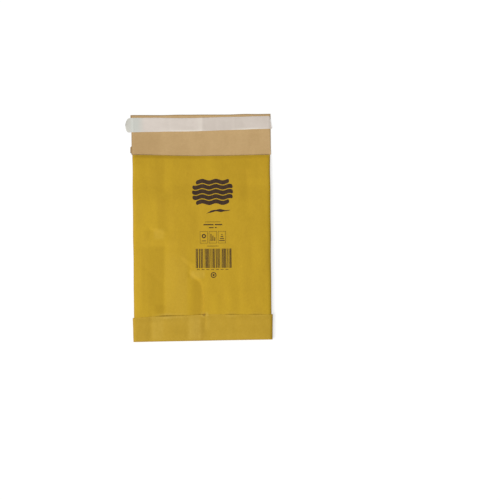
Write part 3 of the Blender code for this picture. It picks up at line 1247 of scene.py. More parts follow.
@dataclass
class Pouch:
    """A pocket closed at its foot, whose front wall runs on as the flap.

    outside and inside are the depths of its two faces in the body's walls, under and
    over those of its flap's faces over the flap's underside. round_edge lists the rows
    round the turned-up edge: how far past it each runs at the side folds, its layer, how
    far past it on the back, less what share of the gap's depth, and its bevel.
    """

    form: MailerForm
    outside: float
    inside: float
    under: float
    over: float
    trim: float
    dressed: bool

    step: float = 0.00138
    fold_reach: float = 0.0066
    fold_places: int = 10
    seam_reach: float = 0.003
    seam_columns: tuple[float, ...] = (0.0021, 0.0014, 0.0009, 0.0005, 0.0002)
    line_blend: float = 0.007
    row_places: int = 9
    foot_reach: float = 0.0036
    foot_height: float = 0.033
    foot_rows: Place = (0.005, 0.0312)
    near_edge: tuple[float, ...] = (-0.0011, -0.0006, -0.0003)
    round_edge: tuple[tuple[float, Layer, float, float, float], ...] = (
        (-0.0002, Layer.TURNED_UP, -0.00008, 0.0, 0.0),
        (-0.0001, Layer.TURNED_UP, 0.0, 0.0, 0.00012),
        (0.0, Layer.UNDERSIDE, -0.00002, 0.0, 0.0),
        (0.0001, Layer.UNDERSIDE, 0.0, 0.5, 0.0),
        (0.0002, Layer.UNDERSIDE, 0.0, 1.0, 0.0),
        (0.0003, Layer.BACK, 0.0, 0.97, 0.0),
        (0.0004, Layer.BACK, 0.0, 0.45, 0.0),
        (0.0005, Layer.BACK, 0.0001, 0.0, 0.0),
    )
    above_edge: float = 0.001
    gap_least: float = 0.001
    gap_per_lift: float = 6.0
    back_length: float = 0.213
    lip_rows: float = 0.0034
    pocket_shares: tuple[float, ...] = (
        *(0, 0.02, 0.05, 0.1, 0.17, 0.26, 0.38),
        *(0.52, 0.66, 0.8, 0.9, 0.95, 0.98, 1),
    )
    flap_start: tuple[float, ...] = (0.0004, 0.001)
    flap_fine: Place = (0.0016, 0.0152)
    flap_crease: tuple[float, ...] = (-0.0012, -0.0006, 0, 0.0006, 0.0012)
    flap_plain: Place = (0.0188, 0.0016)
    flap_end: tuple[float, ...] = (0.0009, 0.0004, 0.0001, 0)

    crease: Streak = Streak(0.00018, 0.0, 0.0012)
    lip_drop: float = 0.7
    soft_seam: float = 0.0006
    soft_seam_run: float = 0.0030
    soft_seam_late: float = 0.4
    soft_seam_fade: float = 0.022
    soft_seam_deep: float = 1.6
    soft_seam_end: float = 0.017
    seam_groove: Streak = Streak(0.0005, 0.0006, 0.0026)
    lumps_from_edge: float = 0.003
    pressed: Streak = Streak(0.0004, 0.0165, 0.008)

    # Painted shade along the side folds, whose rounded sides turn down from the light.
    side_fold_shade: Streak = Streak(0.45, 0.0, 0.0011)
    # Painted shade along the foot's rounded edge, which faces the light.
    foot_edge_shade: Streak = Streak(0.3, 0.0, 0.0028)
    # Painted shade and painted sheen over the turned-up foot, which slopes towards the light.
    turned_shade: float = 0.42
    turned_sheen: float = 0.25
    # Paler line along the turned-up edge.
    turned_edge_pale: Streak = Streak(0.2, 0.0, 0.0010)
    # Painted shade along the flap's edges and its ear.
    flap_edge_shadow: Streak = Streak(0.60, 0.0, 0.0008)
    flap_edge_shadow_run: float = 0.008
    # Darker towards the flap's left.
    flap_left_dark: float = 0.17
    flap_left_dark_ramp: Ramp = Ramp(-0.048, -0.02)
    # Paler band just inside the flap's edges.
    flap_edge_pale: Streak = Streak(0.15, 0.0018, 0.0016)

    def columns(self) -> Array:
        """Spreads the columns of points, close at the folds and the seam.

        Returns:
            Places across the body as shares of its half width.
        """
        form, reach = self.form, self.seam_reach
        fold = crowded(self.fold_reach, self.fold_places)[:-1]
        beside = np.array([*self.seam_columns, form.seam_run / 2])
        left = stations(-form.half_body + self.fold_reach, form.seam_x - reach, self.step)
        right = stations(form.seam_x + reach, form.half_body - self.fold_reach, self.step)
        places = [-form.half_body + fold, left, form.seam_x - beside]
        places += [form.seam_x + beside[::-1], right, form.half_body - fold[::-1]]
        return np.concatenate(places) / form.half_body

    def ring(
        self, shell: Shell, row: Row, depth: float, above: float, dressed: bool
    ) -> tuple[Array, Array]:
        """Adds one ring of points.

        Args:
            shell: Takes the points.
            row: Where the ring runs.
            depth: How far the face lies below the outside.
            above: Height of the same face over the flap's underside.
            dressed: Whether this is the outer face, with seam, foot and lip.

        Returns:
            The front and the back chain, which share their ends.
        """
        form = self.form
        level = float(row.line(np.zeros(1))[0])
        wide = form.turn_up_wider(level) if row.layer is not Layer.BACK else 0.0
        half_width = form.half_body - depth + wide + form.side_wobble(level)
        x = self.columns() * half_width
        from_side = half_width - np.abs(x)
        front_y = row.line(x)
        back_y = front_y
        if row.back_line is not None:
            back_y = front_y + ease(from_side / self.line_blend) * (row.back_line(x) - front_y)
        middle, half = form.middle(x, back_y)
        near_lip = np.clip(1 - (form.mouth_y(x) - back_y) / form.lip_reach, 0, 1) ** 2
        skin_share = max(0.0, 1 - depth / form.padded_wall)
        thinned = depth + (form.padded_wall - form.lip_wall) * near_lip * skin_share
        rise = half - thinned + form.relief(x, back_y)
        fold = quarter_round(from_side / form.side_round)
        front_fold, back_fold = fold, fold
        # Painted shade along the side folds.
        side_fold_shade = self.side_fold_shade.at(from_side)
        marks = {"damp": side_fold_shade}
        if dressed:
            front_fold = self.foot_rounding(x, front_y, fold, form.middle(x, front_y)[1])
            back_fold = self.foot_rounding(x, back_y, fold, half)
            rise = rise + self.dressing(x, back_y, row)
            marks = self.back_marks(x, back_y, row.layer, side_fold_shade)
        front_z = self.front_z(x, front_y, depth, above, front_fold)
        front = shell.add(x, front_y, front_z, damp=side_fold_shade)
        between = slice(1, -1)
        marks = {label: values[between] for label, values in marks.items()}
        back_z = middle + back_fold * rise
        back = shell.add(x[between], back_y[between], back_z[between], **marks)
        return front, np.concatenate([front[:1], back, front[-1:]])

    def back_marks(self, x: Array, y: Array, layer: Layer, damp: Array) -> dict[str, Array]:
        """Where the dressed back gets painted shade, painted sheen, paler lines and painted shadow.

        Args:
            x: Places across the mailer.
            y: Places along it.
            layer: The sheet that they lie on.
            damp: Darkening that they have already.

        Returns:
            The marks at each place, by name.
        """
        form = self.form
        past_edge = y - form.turn_up_y(x)
        wear = form.pale(x, y) + form.edge_pale(x, past_edge)
        damp = damp + form.damp(x, y) + self.foot_edge_shade.at(y - form.foot_y(x))
        # The turned-up foot, sloping towards the light, gets painted shade and painted sheen.
        if layer is Layer.TURNED_UP:
            wear = wear + self.turned_sheen + self.turned_edge_pale.at(past_edge)
            damp = damp + self.turned_shade
        return {"damp": damp, "cut": form.edge_shadow(x, past_edge), "wear": wear}

    def front_z(self, x: Array, y: Array, depth: float, above: float, fold: Array) -> Array:
        """Height of a face in the front wall, which thins to the flap towards the mouth.

        Args:
            x: Places across the mailer.
            y: Places along it.
            depth: How far the face lies over the outside, away from the mouth.
            above: Height of the same face over the flap's underside.
            fold: 1 on the flat of the wall, falling to 0 at the side folds.

        Returns:
            The height at each place.
        """
        form = self.form
        middle, _ = form.middle(x, y)
        level = form.side_rise(x) + depth
        level = level + (form.flap_z(x, y, above) - level) * form.near_mouth(x, y)
        return middle + (level - middle) * fold

    def foot_rounding(self, x: Array, y: Array, fold: Array, half: Array) -> Array:
        """How much of the section's height is left where the folded foot rounds off."""
        foot = quarter_round((y - self.form.foot_y(x)) / self.form.foot_round)
        return fold * (foot + (1 - foot) * self.form.foot_edge / (2 * half))

    def dressing(self, x: Array, y: Array, row: Row) -> Array:
        """Height that the seam, the turned-up foot and the rounded lip add to the back.

        Args:
            x: Places across the mailer.
            y: Places along it.
            row: The row that they belong to.

        Returns:
            The height at each place.
        """
        form = self.form
        if row.layer is Layer.BACK:
            lip = quarter_round((form.mouth_y(x) - y) / form.lip_round) - 1
            return form.seam(x, y) + form.lip_round * self.lip_drop * lip
        below = form.turn_up_y(x) - y
        if row.layer is Layer.UNDERSIDE:
            raised = (form.lift(x) - form.lift_least) * ease(1 - below / form.lift_depth)
            return form.seam(x, y) + form.lift_least + raised
        off_seam = x - form.seam_x
        seam = self.soft_seam * ease(off_seam / self.soft_seam_run - self.soft_seam_late)
        seam = seam * (1 - ease(off_seam / self.soft_seam_fade)) - self.seam_groove.at(off_seam)
        seam = seam * ease(self.soft_seam_deep - below / self.soft_seam_end)
        lumps = form.foot_relief(x, y) * ease(below / self.lumps_from_edge)
        return form.turn_up_rise(x, below) + seam + lumps - self.pressed.at(below) - row.bevel

    def outer_rows(self) -> list[Row]:
        """Lists the outside's rows: the foot, the turned-up face, under its edge, up the back.

        Returns:
            The rows, from the foot to the mouth.
        """
        form = self.form

        def above_foot(distance: float) -> Line:
            """The line this far above the foot, as a share of the way to the turn-up's edge."""
            share = distance / self.foot_height
            return lambda x: form.foot_y(x) + share * (form.turn_up_y(x) - form.foot_y(x))

        def past_edge(past: float, share: float = 0.0) -> Line:
            """The line this far past the turn-up's edge, less a share of the gap's depth."""
            least, per_lift = self.gap_least, self.gap_per_lift
            return lambda x: form.turn_up_y(x) + past - share * (least + form.lift(x) * per_lift)

        def up_back(share: float, offset: float = 0.0) -> Line:
            """The line at a share of the way from the turn-up's edge to the mouth."""
            return lambda x: form.turn_up_y(x) * (1 - share) + form.mouth_y(x) * share + offset

        turned = Layer.TURNED_UP
        rows = [Row(above_foot(place), turned) for place in crowded(self.foot_reach, self.row_places)]
        rows += [Row(above_foot(place), turned) for place in stations(*self.foot_rows, self.step)]
        rows += [Row(past_edge(place), turned) for place in self.near_edge]
        for at_folds, layer, past, share, bevel in self.round_edge:
            rows.append(Row(past_edge(at_folds), layer, past_edge(past, share), bevel))
        rows.append(Row(past_edge(self.above_edge)))
        rows += [Row(up_back(share)) for share in stations(0.0, 1.0, self.step / self.back_length)[1:-3]]
        lip = crowded(self.lip_rows, self.row_places)[::-1]
        return rows + [Row(up_back(1.0, -offset)) for offset in lip]

    def pocket_rows(self, start: float) -> list[Row]:
        """Rows of a face inside the pocket.

        Args:
            start: How far from the foot it starts.

        Returns:
            The rows, from the closed end to the mouth.
        """
        form = self.form

        def at(share: float) -> Line:
            """The line at a share of the way from the pocket's closed end to the mouth."""
            return lambda x: (form.foot_y(x) + start) * (1 - share) + form.mouth_y(x) * share

        return [Row(at(share)) for share in self.pocket_shares]

    def flap_chain(
        self, shell: Shell, from_mouth: float, depth: float, above: float, creased: bool
    ) -> Array:
        """Adds one chain of points across a face of the flap.

        Args:
            shell: Takes the points.
            from_mouth: Distance from the mouth on the middle line.
            depth: Where the same face lies in the body's front wall.
            above: Height of the face over the settled flap's underside.
            creased: Whether the face has the flap's fold crease.

        Returns:
            The points' numbers.
        """
        form = self.form
        shares = self.columns()
        x = shares * (form.flap_half(shares, from_mouth) - self.trim)
        y = form.flap_y(from_mouth, x, self.trim)
        fold = quarter_round((form.half_body - depth) * (1 - np.abs(shares)) / form.side_round)
        start = self.front_z(x, form.mouth_y(x), depth, above, fold)
        settled = ease(np.asarray(from_mouth / form.flap_ease))
        z = start + (form.flap_z(x, y, above) - start) * settled
        if creased:
            z = z + self.crease.at(np.asarray(from_mouth - form.crease_above_mouth))
        from_edge = np.minimum(form.flap_length - from_mouth, form.half_flap - np.abs(x))
        # Painted shade along the flap's edges, full on its ear, fading towards the mouth.
        cut = self.flap_edge_shadow.at(np.maximum(from_edge, 0.0))
        cut = cut * ease(np.asarray(from_mouth / self.flap_edge_shadow_run))
        # Darker towards the flap's left.
        damp = self.flap_left_dark * self.flap_left_dark_ramp.at(x)
        return shell.add(x, y, z, wear=self.flap_edge_pale.at(from_edge), cut=cut, damp=damp)

    def flap_rows(self) -> Array:
        """Spreads the flap's rows, close at its start, its crease and its end.

        Returns:
            Their distances from the mouth.
        """
        form = self.form
        plain_from, plain_inset = self.flap_plain
        rows = [self.flap_start, stations(*self.flap_fine, self.step / 2)]
        rows.append(form.crease_above_mouth + np.array(self.flap_crease))
        rows.append(stations(plain_from, form.flap_length - plain_inset, self.step))
        rows.append(form.flap_length - np.array(self.flap_end))
        return np.concatenate(rows)

    def shell(self) -> Shell:
        """Makes the pouch's closed skin: both faces of the pocket, its mouth and its flap.

        Returns:
            The shell.
        """
        form, shell = self.form, Shell()
        start = form.pocket_foot + self.inside - form.padded_wall
        rows = self.outer_rows() if self.dressed else self.pocket_rows(start - form.lining)
        outer = [self.ring(shell, row, self.outside, self.under, self.dressed) for row in rows]
        inner = [self.ring(shell, row, self.inside, self.over, False) for row in self.pocket_rows(start)]
        for tube in (outer, inner):
            shell.skin(*tube[0])
            for (near_front, near_back), (far_front, far_back) in pairwise(tube):
                shell.skin(near_front, far_front)
                shell.skin(near_back, far_back)
        shell.skin(outer[-1][1], inner[-1][1])
        faces = [(outer[-1][0], inner[-1][0])]
        for place in self.flap_rows():
            under = self.flap_chain(shell, float(place), self.outside, self.under, self.dressed)
            over = self.flap_chain(shell, float(place), self.inside, self.over, False)
            faces.append((under, over))
        for (near_under, near_over), (far_under, far_over) in pairwise(faces):
            shell.skin(near_under, far_under)
            shell.skin(near_over, far_over)
            for end in (0, -1):
                shell.skin((near_under[end], near_over[end]), (far_under[end], far_over[end]))
        shell.skin(*faces[-1])
        return shell


@dataclass
class PaddedWallet:
    """The yellow padded sheet, folded and glued to a pocket with a flap."""

    form: MailerForm
    fill: float = 0.3

    def build(self) -> bpy.types.Object:
        """Returns:
            The piece.
        """
        form = self.form
        pouch = Pouch(
            form,
            outside=0.0,
            inside=form.padded_wall,
            under=0.0,
            over=form.flap_sheet,
            trim=0.0,
            dressed=True,
        )
        piece = pouch.shell().build("wallet", YELLOW_KRAFT, "yellow_kraft")
        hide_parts("padded_wallet")
        return piece


@dataclass
class PocketLining:
    """The tan lining of the pocket and of the flap's inner face."""

    form: MailerForm
    trim: float = 0.00025

    def build(self) -> bpy.types.Object:
        """Builds the lining.

        Returns:
            The piece.
        """
        form = self.form
        outside = form.padded_wall + form.sheet_gap
        pouch = Pouch(
            form,
            outside=outside,
            inside=outside + form.lining,
            under=form.flap_sheet + form.sheet_gap,
            over=form.flap_top,
            trim=self.trim,
            dressed=False,
        )
        piece = pouch.shell().build("lining", TAN_KRAFT, "tan_kraft")
        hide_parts("inner_ply")
        return piece


@dataclass
class PeelStrip:
    """The adhesive along the flap and the release liner that covers it."""

    form: MailerForm
    width: float = 0.0182
    spare: float = 0.0002
    narrowing: float = 0.0095
    left_wider: float = 0.0005
    left_ramp: Ramp = Ramp(-0.045, -0.015)
    below_top: float = 0.0038
    bow: Streak = Streak(0.0008, -0.010, 0.040)
    tilt: float = math.radians(0.45)
    right_rise: float = 0.0003
    right_ramp: Ramp = Ramp(0.056, 0.016)
    tab: float = 0.0079
    tail: float = 0.0017
    end_slant: float = 0.0028
    end_reach: float = 0.006
    tab_round: float = 0.0052
    tab_least: float = 0.04
    tab_places: int = 10
    tab_crowding: float = 1.8
    tab_curl: float = 0.0011
    curl_skew: float = 0.5
    tab_droop: float = 0.0012
    droop_power: float = 1.5
    rest_gap: float = 0.00004
    film: float = 0.00015
    film_inset: float = 0.003
    film_margin: float = 0.0016
    sheet: float = 0.00014
    step: float = 0.0012
    folds: tuple[Streak, ...] = (Streak(0.00035, 0.0020, 0.0026), Streak(0.00015, 0.045, 0.0016))
    ripples: WaveField = WaveField(61, 0.00006, 0.012, 0.04, 2.5)
    ripple_share: float = 1.5

    cool: float = 0.95
    cool_ramp: Ramp = Ramp(-0.0735, -0.014)
    # Painted highlights along the liner's lower edge where it bends towards the light.
    edge_line: Streak = Streak(1.0, 0.0, 0.0016)
    edge_lights: tuple[Streak, ...] = (Streak(1.0, -0.022, 0.022), Streak(1.0, 0.064, 0.018))
    tab_light: float = 0.18
    tab_end_light: float = 0.2
    tab_light_from: float = 4.0
    # Painted highlight on the liner's middle fold; painted shade along its upper edge.
    fold_light: Streak = Streak(0.20, -0.0018, 0.0038)
    top_shade: Streak = Streak(0.9, 0.0, 0.0012)
    left_shade: float = 0.2
    left_shade_ramp: Ramp = Ramp(-0.07, 0.05)
    fold_shade: float = 0.65
    fold_shade_ramp: Ramp = Ramp(0.001, 0.009)
    shade_loss: float = 0.45
    shade_loss_ramp: Ramp = Ramp(0.045, 0.02)

    def middle_y(self, x: Array) -> Array:
        """The strip's middle line, which is a little askew."""
        level = self.form.half_length - self.below_top - self.width / 2 - self.bow.at(x)
        return level + (math.tan(self.tilt) * x + self.right_rise * self.right_ramp.at(x))

    def past_edge(self, x: Array) -> Array:
        """0 on the flap, rising to 1 at the tab's end."""
        return np.clip((-self.form.half_flap - x) / self.tab, 0, 1)

    def half_width(self, x: Array) -> Array:
        """Half the liner's width, which rounds off at the tab's end.

        Args:
            x: Places along the liner.

        Returns:
            The half width at each place.
        """
        end = -self.form.half_flap - self.tab
        width = self.width - self.spare - self.narrowing * x + self.left_wider * self.left_ramp.at(x)
        return width / 2 * np.maximum(quarter_round((x - end) / self.tab_round), self.tab_least)

    def wrinkles(self, x: Array, y: Array) -> Array:
        """Height of the liner's ripples and of the two folds across it."""
        return together(self.folds, x) + self.ripple_share * np.abs(self.ripples.at(x, y))

    def shading(self, x: Array) -> Array:
        """How far the liner is turned from the light: a little, and more past its middle fold."""
        past_fold = self.fold_shade_ramp.at(x) * (1 - self.shade_loss * self.shade_loss_ramp.at(x))
        return self.left_shade * self.left_shade_ramp.at(x) + self.fold_shade * past_fold

    def looks(self, x: Array, across: float, half: Array) -> dict[str, Array]:
        """What the liner's finish reads along one line.

        Args:
            x: Places along the line.
            across: The line's place, from -1 at the lower edge to 1 at the upper one.
            half: Half the strip's width at each place.

        Returns:
            The marks at each place, by name.
        """
        past = self.past_edge(x)
        # Painted highlight along the lower edge, and a brighter tab towards its end.
        edge = self.edge_line.at((1 + across) * half) * together(self.edge_lights, x)
        edge = edge + ease(self.tab_light_from * past) * (self.tab_light + self.tab_end_light * past)
        return {
            "tab": self.cool_ramp.at(x) * self.cool,
            "edge": edge + self.fold_light.at(x),
            "shade": self.shading(x) + self.top_shade.at((1 - across) * half),
        }

    def plate(
        self, shell: Shell, x: Array, half: Array, base: float, thick: float, loose: bool
    ) -> None:
        """Adds one thin strip that lies on the flap.

        Args:
            shell: Takes the strip.
            x: Places along the strip's lower edge.
            half: Half its width at each place.
            base: Height of its underside over the flap's underside.
            thick: Its thickness.
            loose: Whether it is the liner, which ripples and is trimmed on a slant.
        """
        top, bottom = [], []
        flap_end = self.form.half_flap
        slant = self.end_slant * ease((x - flap_end + self.end_reach) / self.end_reach) * loose
        for across in stations(-1.0, 1.0, self.step / (self.width / 2)):
            place = x - slant * (1 + across) / 2
            past = self.past_edge(place)
            y = self.middle_y(place) + across * half - self.tab_droop * past**self.droop_power
            z = self.form.flap_z(np.clip(place, -flap_end, flap_end), y, base)
            z = z + self.wrinkles(place, y) * loose
            z = z + self.tab_curl * past**2 * (1 + self.curl_skew * across)
            marks = self.looks(place, across, half)
            top.append(shell.add(place, y, z + thick, **marks))
            bottom.append(shell.add(place, y, z, **marks))
        shell.slab(top, bottom)

    def build(self) -> list[bpy.types.Object]:
        """Builds the adhesive and the liner.

        Returns:
            The two pieces.
        """
        form = self.form
        film_base = form.flap_top + self.rest_gap
        reach = form.half_flap - self.film_inset
        adhesive, liner = Shell(), Shell()
        x = stations(-reach, reach, 2 * self.step)
        half = np.full_like(x, self.width / 2 - self.film_margin)
        self.plate(adhesive, x, half, film_base, self.film, loose=False)
        rounded = crowded(self.tab_round, self.tab_places, self.tab_crowding)
        rounded = -form.half_flap - self.tab + rounded
        straight = stations(rounded[-1], form.half_flap + self.tail, self.step)
        x = np.concatenate([rounded[:-1], straight])
        base = film_base + self.film + self.rest_gap
        self.plate(liner, x, self.half_width(x), base, self.sheet, loose=True)
        strip = adhesive.build("adhesive", CLEAR_ADHESIVE, "clear_adhesive")
        cover = liner.build("liner", COATED_PAPER, "coated_paper")
        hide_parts("adhesive_strip")
        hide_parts("release_liner")
        return [strip, cover]


@dataclass
class BackPrint:
    """Plain printed marks down the back: a badge of waves, rules, panels, bars and a ring."""

    form: MailerForm
    middle_x: float = 0.0149
    ink_lift: float = 0.00004
    ink: float = 0.00002
    step: float = 0.0009
    ring_points: int = 41
    disc_points: int = 17
    disc_reach: float = 0.98

    badge_y: float = 0.0475
    badge_half: Place = (0.0275, 0.0172)
    badge_bands: int = 5
    badge_share: float = 0.82
    badge_points: int = 81
    badge_squareness: float = 3.2
    band_round: float = 0.0022
    band_least: float = 0.08
    wave_height: float = 0.0011
    wave_length: float = 0.0183
    stroke_points: int = 48
    stroke_from: Place = (0.0065, 0.0185)
    stroke_run: Place = (0.032, 0.006)
    stroke_bend: float = 0.0016
    stroke_half: float = 0.0014
    stroke_thinning: float = 0.35
    stroke_swings: float = 5.0
    stroke_least: float = 0.00015

    rules_inset: float = 0.0145
    rules_width: float = 0.029
    rules_gap: float = 0.0018
    rule_lines: tuple[tuple[float, float, tuple[float, ...]], ...] = (
        (0.0072, 0.0005, (0.021,)),
        (0.0035, 0.0015, (0.0135, 0.0098)),
        (-0.0005, 0.0012, (0.0062, 0.0024)),
        (-0.0252, 0.0006, (0.0155,)),
    )

    panel_y: float = -0.0134
    panel_half: Place = (0.0052, 0.0078)
    panel_line: float = 0.0004
    panel_pitch: float = 0.0121
    sign_ring: Place = (0.0014, 0.0029)
    sign_ring_y: float = 0.0016
    sign_ring_base: float = -0.0048
    sign_ring_reach: float = 0.003
    sign_ring_line: float = 0.0009
    sign_bar_ends: Place = (-0.005, 0.0044)
    sign_bar_pitch: float = 0.0025
    sign_bar_fall: float = 0.0022
    sign_bar_line: float = 0.0012
    sign_peak_levels: int = 4
    sign_peak_reach: float = 0.0036
    sign_peak_base: float = -0.0045
    sign_peak_pitch: float = 0.0026
    sign_peak_line: float = 0.0011

    bar_unit: float = 0.00046
    bar_rule: tuple[int, int, int] = (7, 3, 4)
    gap_rule: tuple[int, int, int] = (5, 4, 3)
    bar_fill: float = 0.92
    bar_reach: float = 0.0232
    bar_ends: Place = (-0.0545, -0.0287)
    dashes: int = 7
    dash_start: float = 0.0012
    dash_pitch: float = 0.0064
    dash_length: float = 0.0040
    dash_y: float = -0.0566
    dash_line: float = 0.0007

    mark_place: Place = (0.0004, -0.0640)
    mark_ring: Place = (0.0027, 0.0038)
    mark_dot: float = 0.0014

    def ribbon(self, shell: Shell, x: Array, y: Array, half: Array, upright: bool = False) -> None:
        """Adds one inked band along a line.

        Args:
            shell: Takes the band.
            x: Places across the mailer of the line's points.
            y: Places along it.
            half: Half the band's width at each point.
            upright: Whether the band's width runs across the mailer.
        """
        top, bottom = [], []
        rows = max(3, round(2 * float(np.max(half)) / self.step) + 1)
        for side in np.linspace(-1, 1, rows):
            place_x = x + side * half * upright
            place_y = y + side * half * (not upright)
            z = self.form.back_z(place_x, place_y) + self.ink_lift
            top.append(shell.add(place_x, place_y, z + self.ink))
            bottom.append(shell.add(place_x, place_y, z))
        shell.slab(top, bottom)

    def rule(self, shell: Shell, left: float, right: float, y: float, thick: float) -> None:
        """Adds a straight rule across the mailer."""
        x = stations(left, right, self.step)
        self.ribbon(shell, x, np.full_like(x, y), np.full_like(x, thick / 2))

    def post(self, shell: Shell, x: float, low: float, high: float, thick: float) -> None:
        """Adds a straight bar along the mailer."""
        y = stations(low, high, self.step)
        self.ribbon(shell, np.full_like(y, x), y, np.full_like(y, thick / 2), upright=True)

    def ring(self, shell: Shell, x: float, y: float, inner: float, outer: float) -> None:
        """Adds a ring.

        Args:
            shell: Takes the ring.
            x: Its middle across the mailer.
            y: Its middle along it.
            inner: Its inner radius.
            outer: Its outer radius.
        """
        angles = np.linspace(0, 2 * math.pi, self.ring_points)[:-1]
        top, bottom = [], []
        for radius in stations(inner, outer, self.step):
            place_x, place_y = x + radius * np.cos(angles), y + radius * np.sin(angles)
            z = self.form.back_z(place_x, place_y) + self.ink_lift
            for rows, height in ((top, z + self.ink), (bottom, z)):
                numbers = shell.add(place_x, place_y, height)
                rows.append(np.append(numbers, numbers[0]))
        for rows in (top, bottom):
            for near, far in pairwise(rows):
                shell.skin(near, far)
        for row in (0, -1):
            shell.skin(top[row], bottom[row])

    def disc(self, shell: Shell, x: float, y: float, radius: float) -> None:
        """Adds a filled disc.

        Args:
            shell: Takes the disc.
            x: Its middle across the mailer.
            y: Its middle along it.
            radius: Its radius.
        """
        share = np.sin(np.linspace(-self.disc_reach, self.disc_reach, self.disc_points) * math.pi / 2)
        half = radius * np.sqrt(1 - share**2)
        self.ribbon(shell, x + radius * share, np.full_like(share, y), half)

    def badge(self) -> Shell:
        """Makes wavy bands, trimmed to a rounded field, over one loose stroke.

        Returns:
            The shell.
        """
        shell = Shell()
        half_width, half_height = self.badge_half
        pitch, power = 2 * half_height / self.badge_bands, self.badge_squareness
        for band in range(self.badge_bands):
            y = self.badge_y + (band - (self.badge_bands - 1) / 2) * pitch
            off = abs((y - self.badge_y) / half_height)
            reach = half_width * (1 - off**power) ** (1 / power)
            x = reach * np.sin(np.linspace(-1, 1, self.badge_points) * math.pi / 2)
            ends = quarter_round((reach - np.abs(x)) / self.band_round)
            wave = self.wave_height * np.sin(2 * math.pi * x / self.wave_length)
            half = pitch * self.badge_share / 2 * np.maximum(ends, self.band_least)
            self.ribbon(shell, self.middle_x + x, y + wave, half)
        share, swings = np.linspace(0.0, 1.0, self.stroke_points), self.stroke_swings
        thin = 1 - self.stroke_thinning * np.cos(swings * math.pi * share)
        half = self.stroke_half * np.sin(math.pi * share) * thin + self.stroke_least
        x, y = (start + run * share for start, run in zip(self.stroke_from, self.stroke_run))
        self.ribbon(shell, x, y + self.stroke_bend * np.sin(swings * share), half)
        return shell

    def rules(self) -> Shell:
        """Makes broken rules in place of lines of words.

        Returns:
            The shell.
        """
        shell = Shell()
        left, gap = self.middle_x - self.rules_inset, self.rules_gap
        for y, thick, pieces in self.rule_lines:
            start = left + (self.rules_width - sum(pieces) - gap * (len(pieces) - 1)) / 2
            for length in pieces:
                self.rule(shell, start, start + length, y, thick)
                start += length + gap
        return shell

    def panel_frame(self, shell: Shell, x: float) -> None:
        """Adds the frame of one upright panel.

        Args:
            shell: Takes the frame.
            x: The panel's middle across the mailer.
        """
        half_width, half_height = self.panel_half
        line, middle_y = self.panel_line, self.panel_y
        for side in (-1, 1):
            self.rule(shell, x - half_width, x + half_width, middle_y + side * half_height, line)
            low, high = middle_y - half_height + line / 2, middle_y + half_height - line / 2
            self.post(shell, x + side * (half_width - line / 2), low, high, line)

    def ring_sign(self, shell: Shell, x: float) -> None:
        """Adds a ring over a short rule.

        Args:
            shell: Takes the marks.
            x: The panel's middle across the mailer.
        """
        self.ring(shell, x, self.panel_y + self.sign_ring_y, *self.sign_ring)
        left, right = x - self.sign_ring_reach, x + self.sign_ring_reach
        self.rule(shell, left, right, self.panel_y + self.sign_ring_base, self.sign_ring_line)

    def bar_sign(self, shell: Shell, x: float) -> None:
        """Adds three bars that fall to the right.

        Args:
            shell: Takes the marks.
            x: The panel's middle across the mailer.
        """
        low, high = self.sign_bar_ends
        for bar in (-1, 0, 1):
            top = self.panel_y + high - self.sign_bar_fall * (bar + 1)
            self.post(shell, x + bar * self.sign_bar_pitch, self.panel_y + low, top, self.sign_bar_line)

    def peak_sign(self, shell: Shell, x: float) -> None:
        """Adds rules that shorten towards a peak.

        Args:
            shell: Takes the marks.
            x: The panel's middle across the mailer.
        """
        for level in range(self.sign_peak_levels):
            reach = self.sign_peak_reach * (1 - level / self.sign_peak_levels)
            y = self.panel_y + self.sign_peak_base + self.sign_peak_pitch * level
            self.rule(shell, x - reach, x + reach, y, self.sign_peak_line)

    def panels(self) -> Shell:
        """Makes three upright framed panels, with a ring, bars and a peak.

        Returns:
            The shell.
        """
        shell = Shell()
        left, middle, right = (self.middle_x + place * self.panel_pitch for place in (-1, 0, 1))
        for x in (left, middle, right):
            self.panel_frame(shell, x)
        self.ring_sign(shell, left)
        self.bar_sign(shell, middle)
        self.peak_sign(shell, right)
        return shell

    @staticmethod
    def units(number: int, rule: tuple[int, int, int]) -> int:
        """Width of a bar or a gap in units, set by its number and a short rule."""
        times, part, most = rule
        return 1 + (number * times + number // part) % most

    def bars(self) -> Shell:
        """Makes a field of upright bars, whose widths follow a short rule, over a broken line.

        Returns:
            The shell.
        """
        shell = Shell()
        left, right = self.middle_x - self.bar_reach, self.middle_x + self.bar_reach
        unit, x, number = self.bar_unit, left, 0
        while x < right:
            thick = unit * self.units(number, self.bar_rule)
            self.post(shell, x + thick / 2, *self.bar_ends, thick * self.bar_fill)
            x += thick + unit * self.units(number, self.gap_rule)
            number += 1
        for dash in range(self.dashes):
            start = left + self.dash_start + dash * self.dash_pitch
            self.rule(shell, start, start + self.dash_length, self.dash_y, self.dash_line)
        return shell

    def mark(self) -> Shell:
        """Makes a small ring with a dot.

        Returns:
            The shell.
        """
        shell, place = Shell(), (self.middle_x + self.mark_place[0], self.mark_place[1])
        self.ring(shell, *place, *self.mark_ring)
        self.disc(shell, *place, self.mark_dot)
        return shell

    def build(self) -> list[bpy.types.Object]:
        """Builds the printed marks.

        Returns:
            The five pieces.
        """
        shells = {
            "print_badge": self.badge(),
            "print_rules": self.rules(),
            "print_panels": self.panels(),
            "print_bars": self.bars(),
            "print_mark": self.mark(),
        }
        return [shell.build(name, DARK_INK, "yellow_kraft") for name, shell in shells.items()]


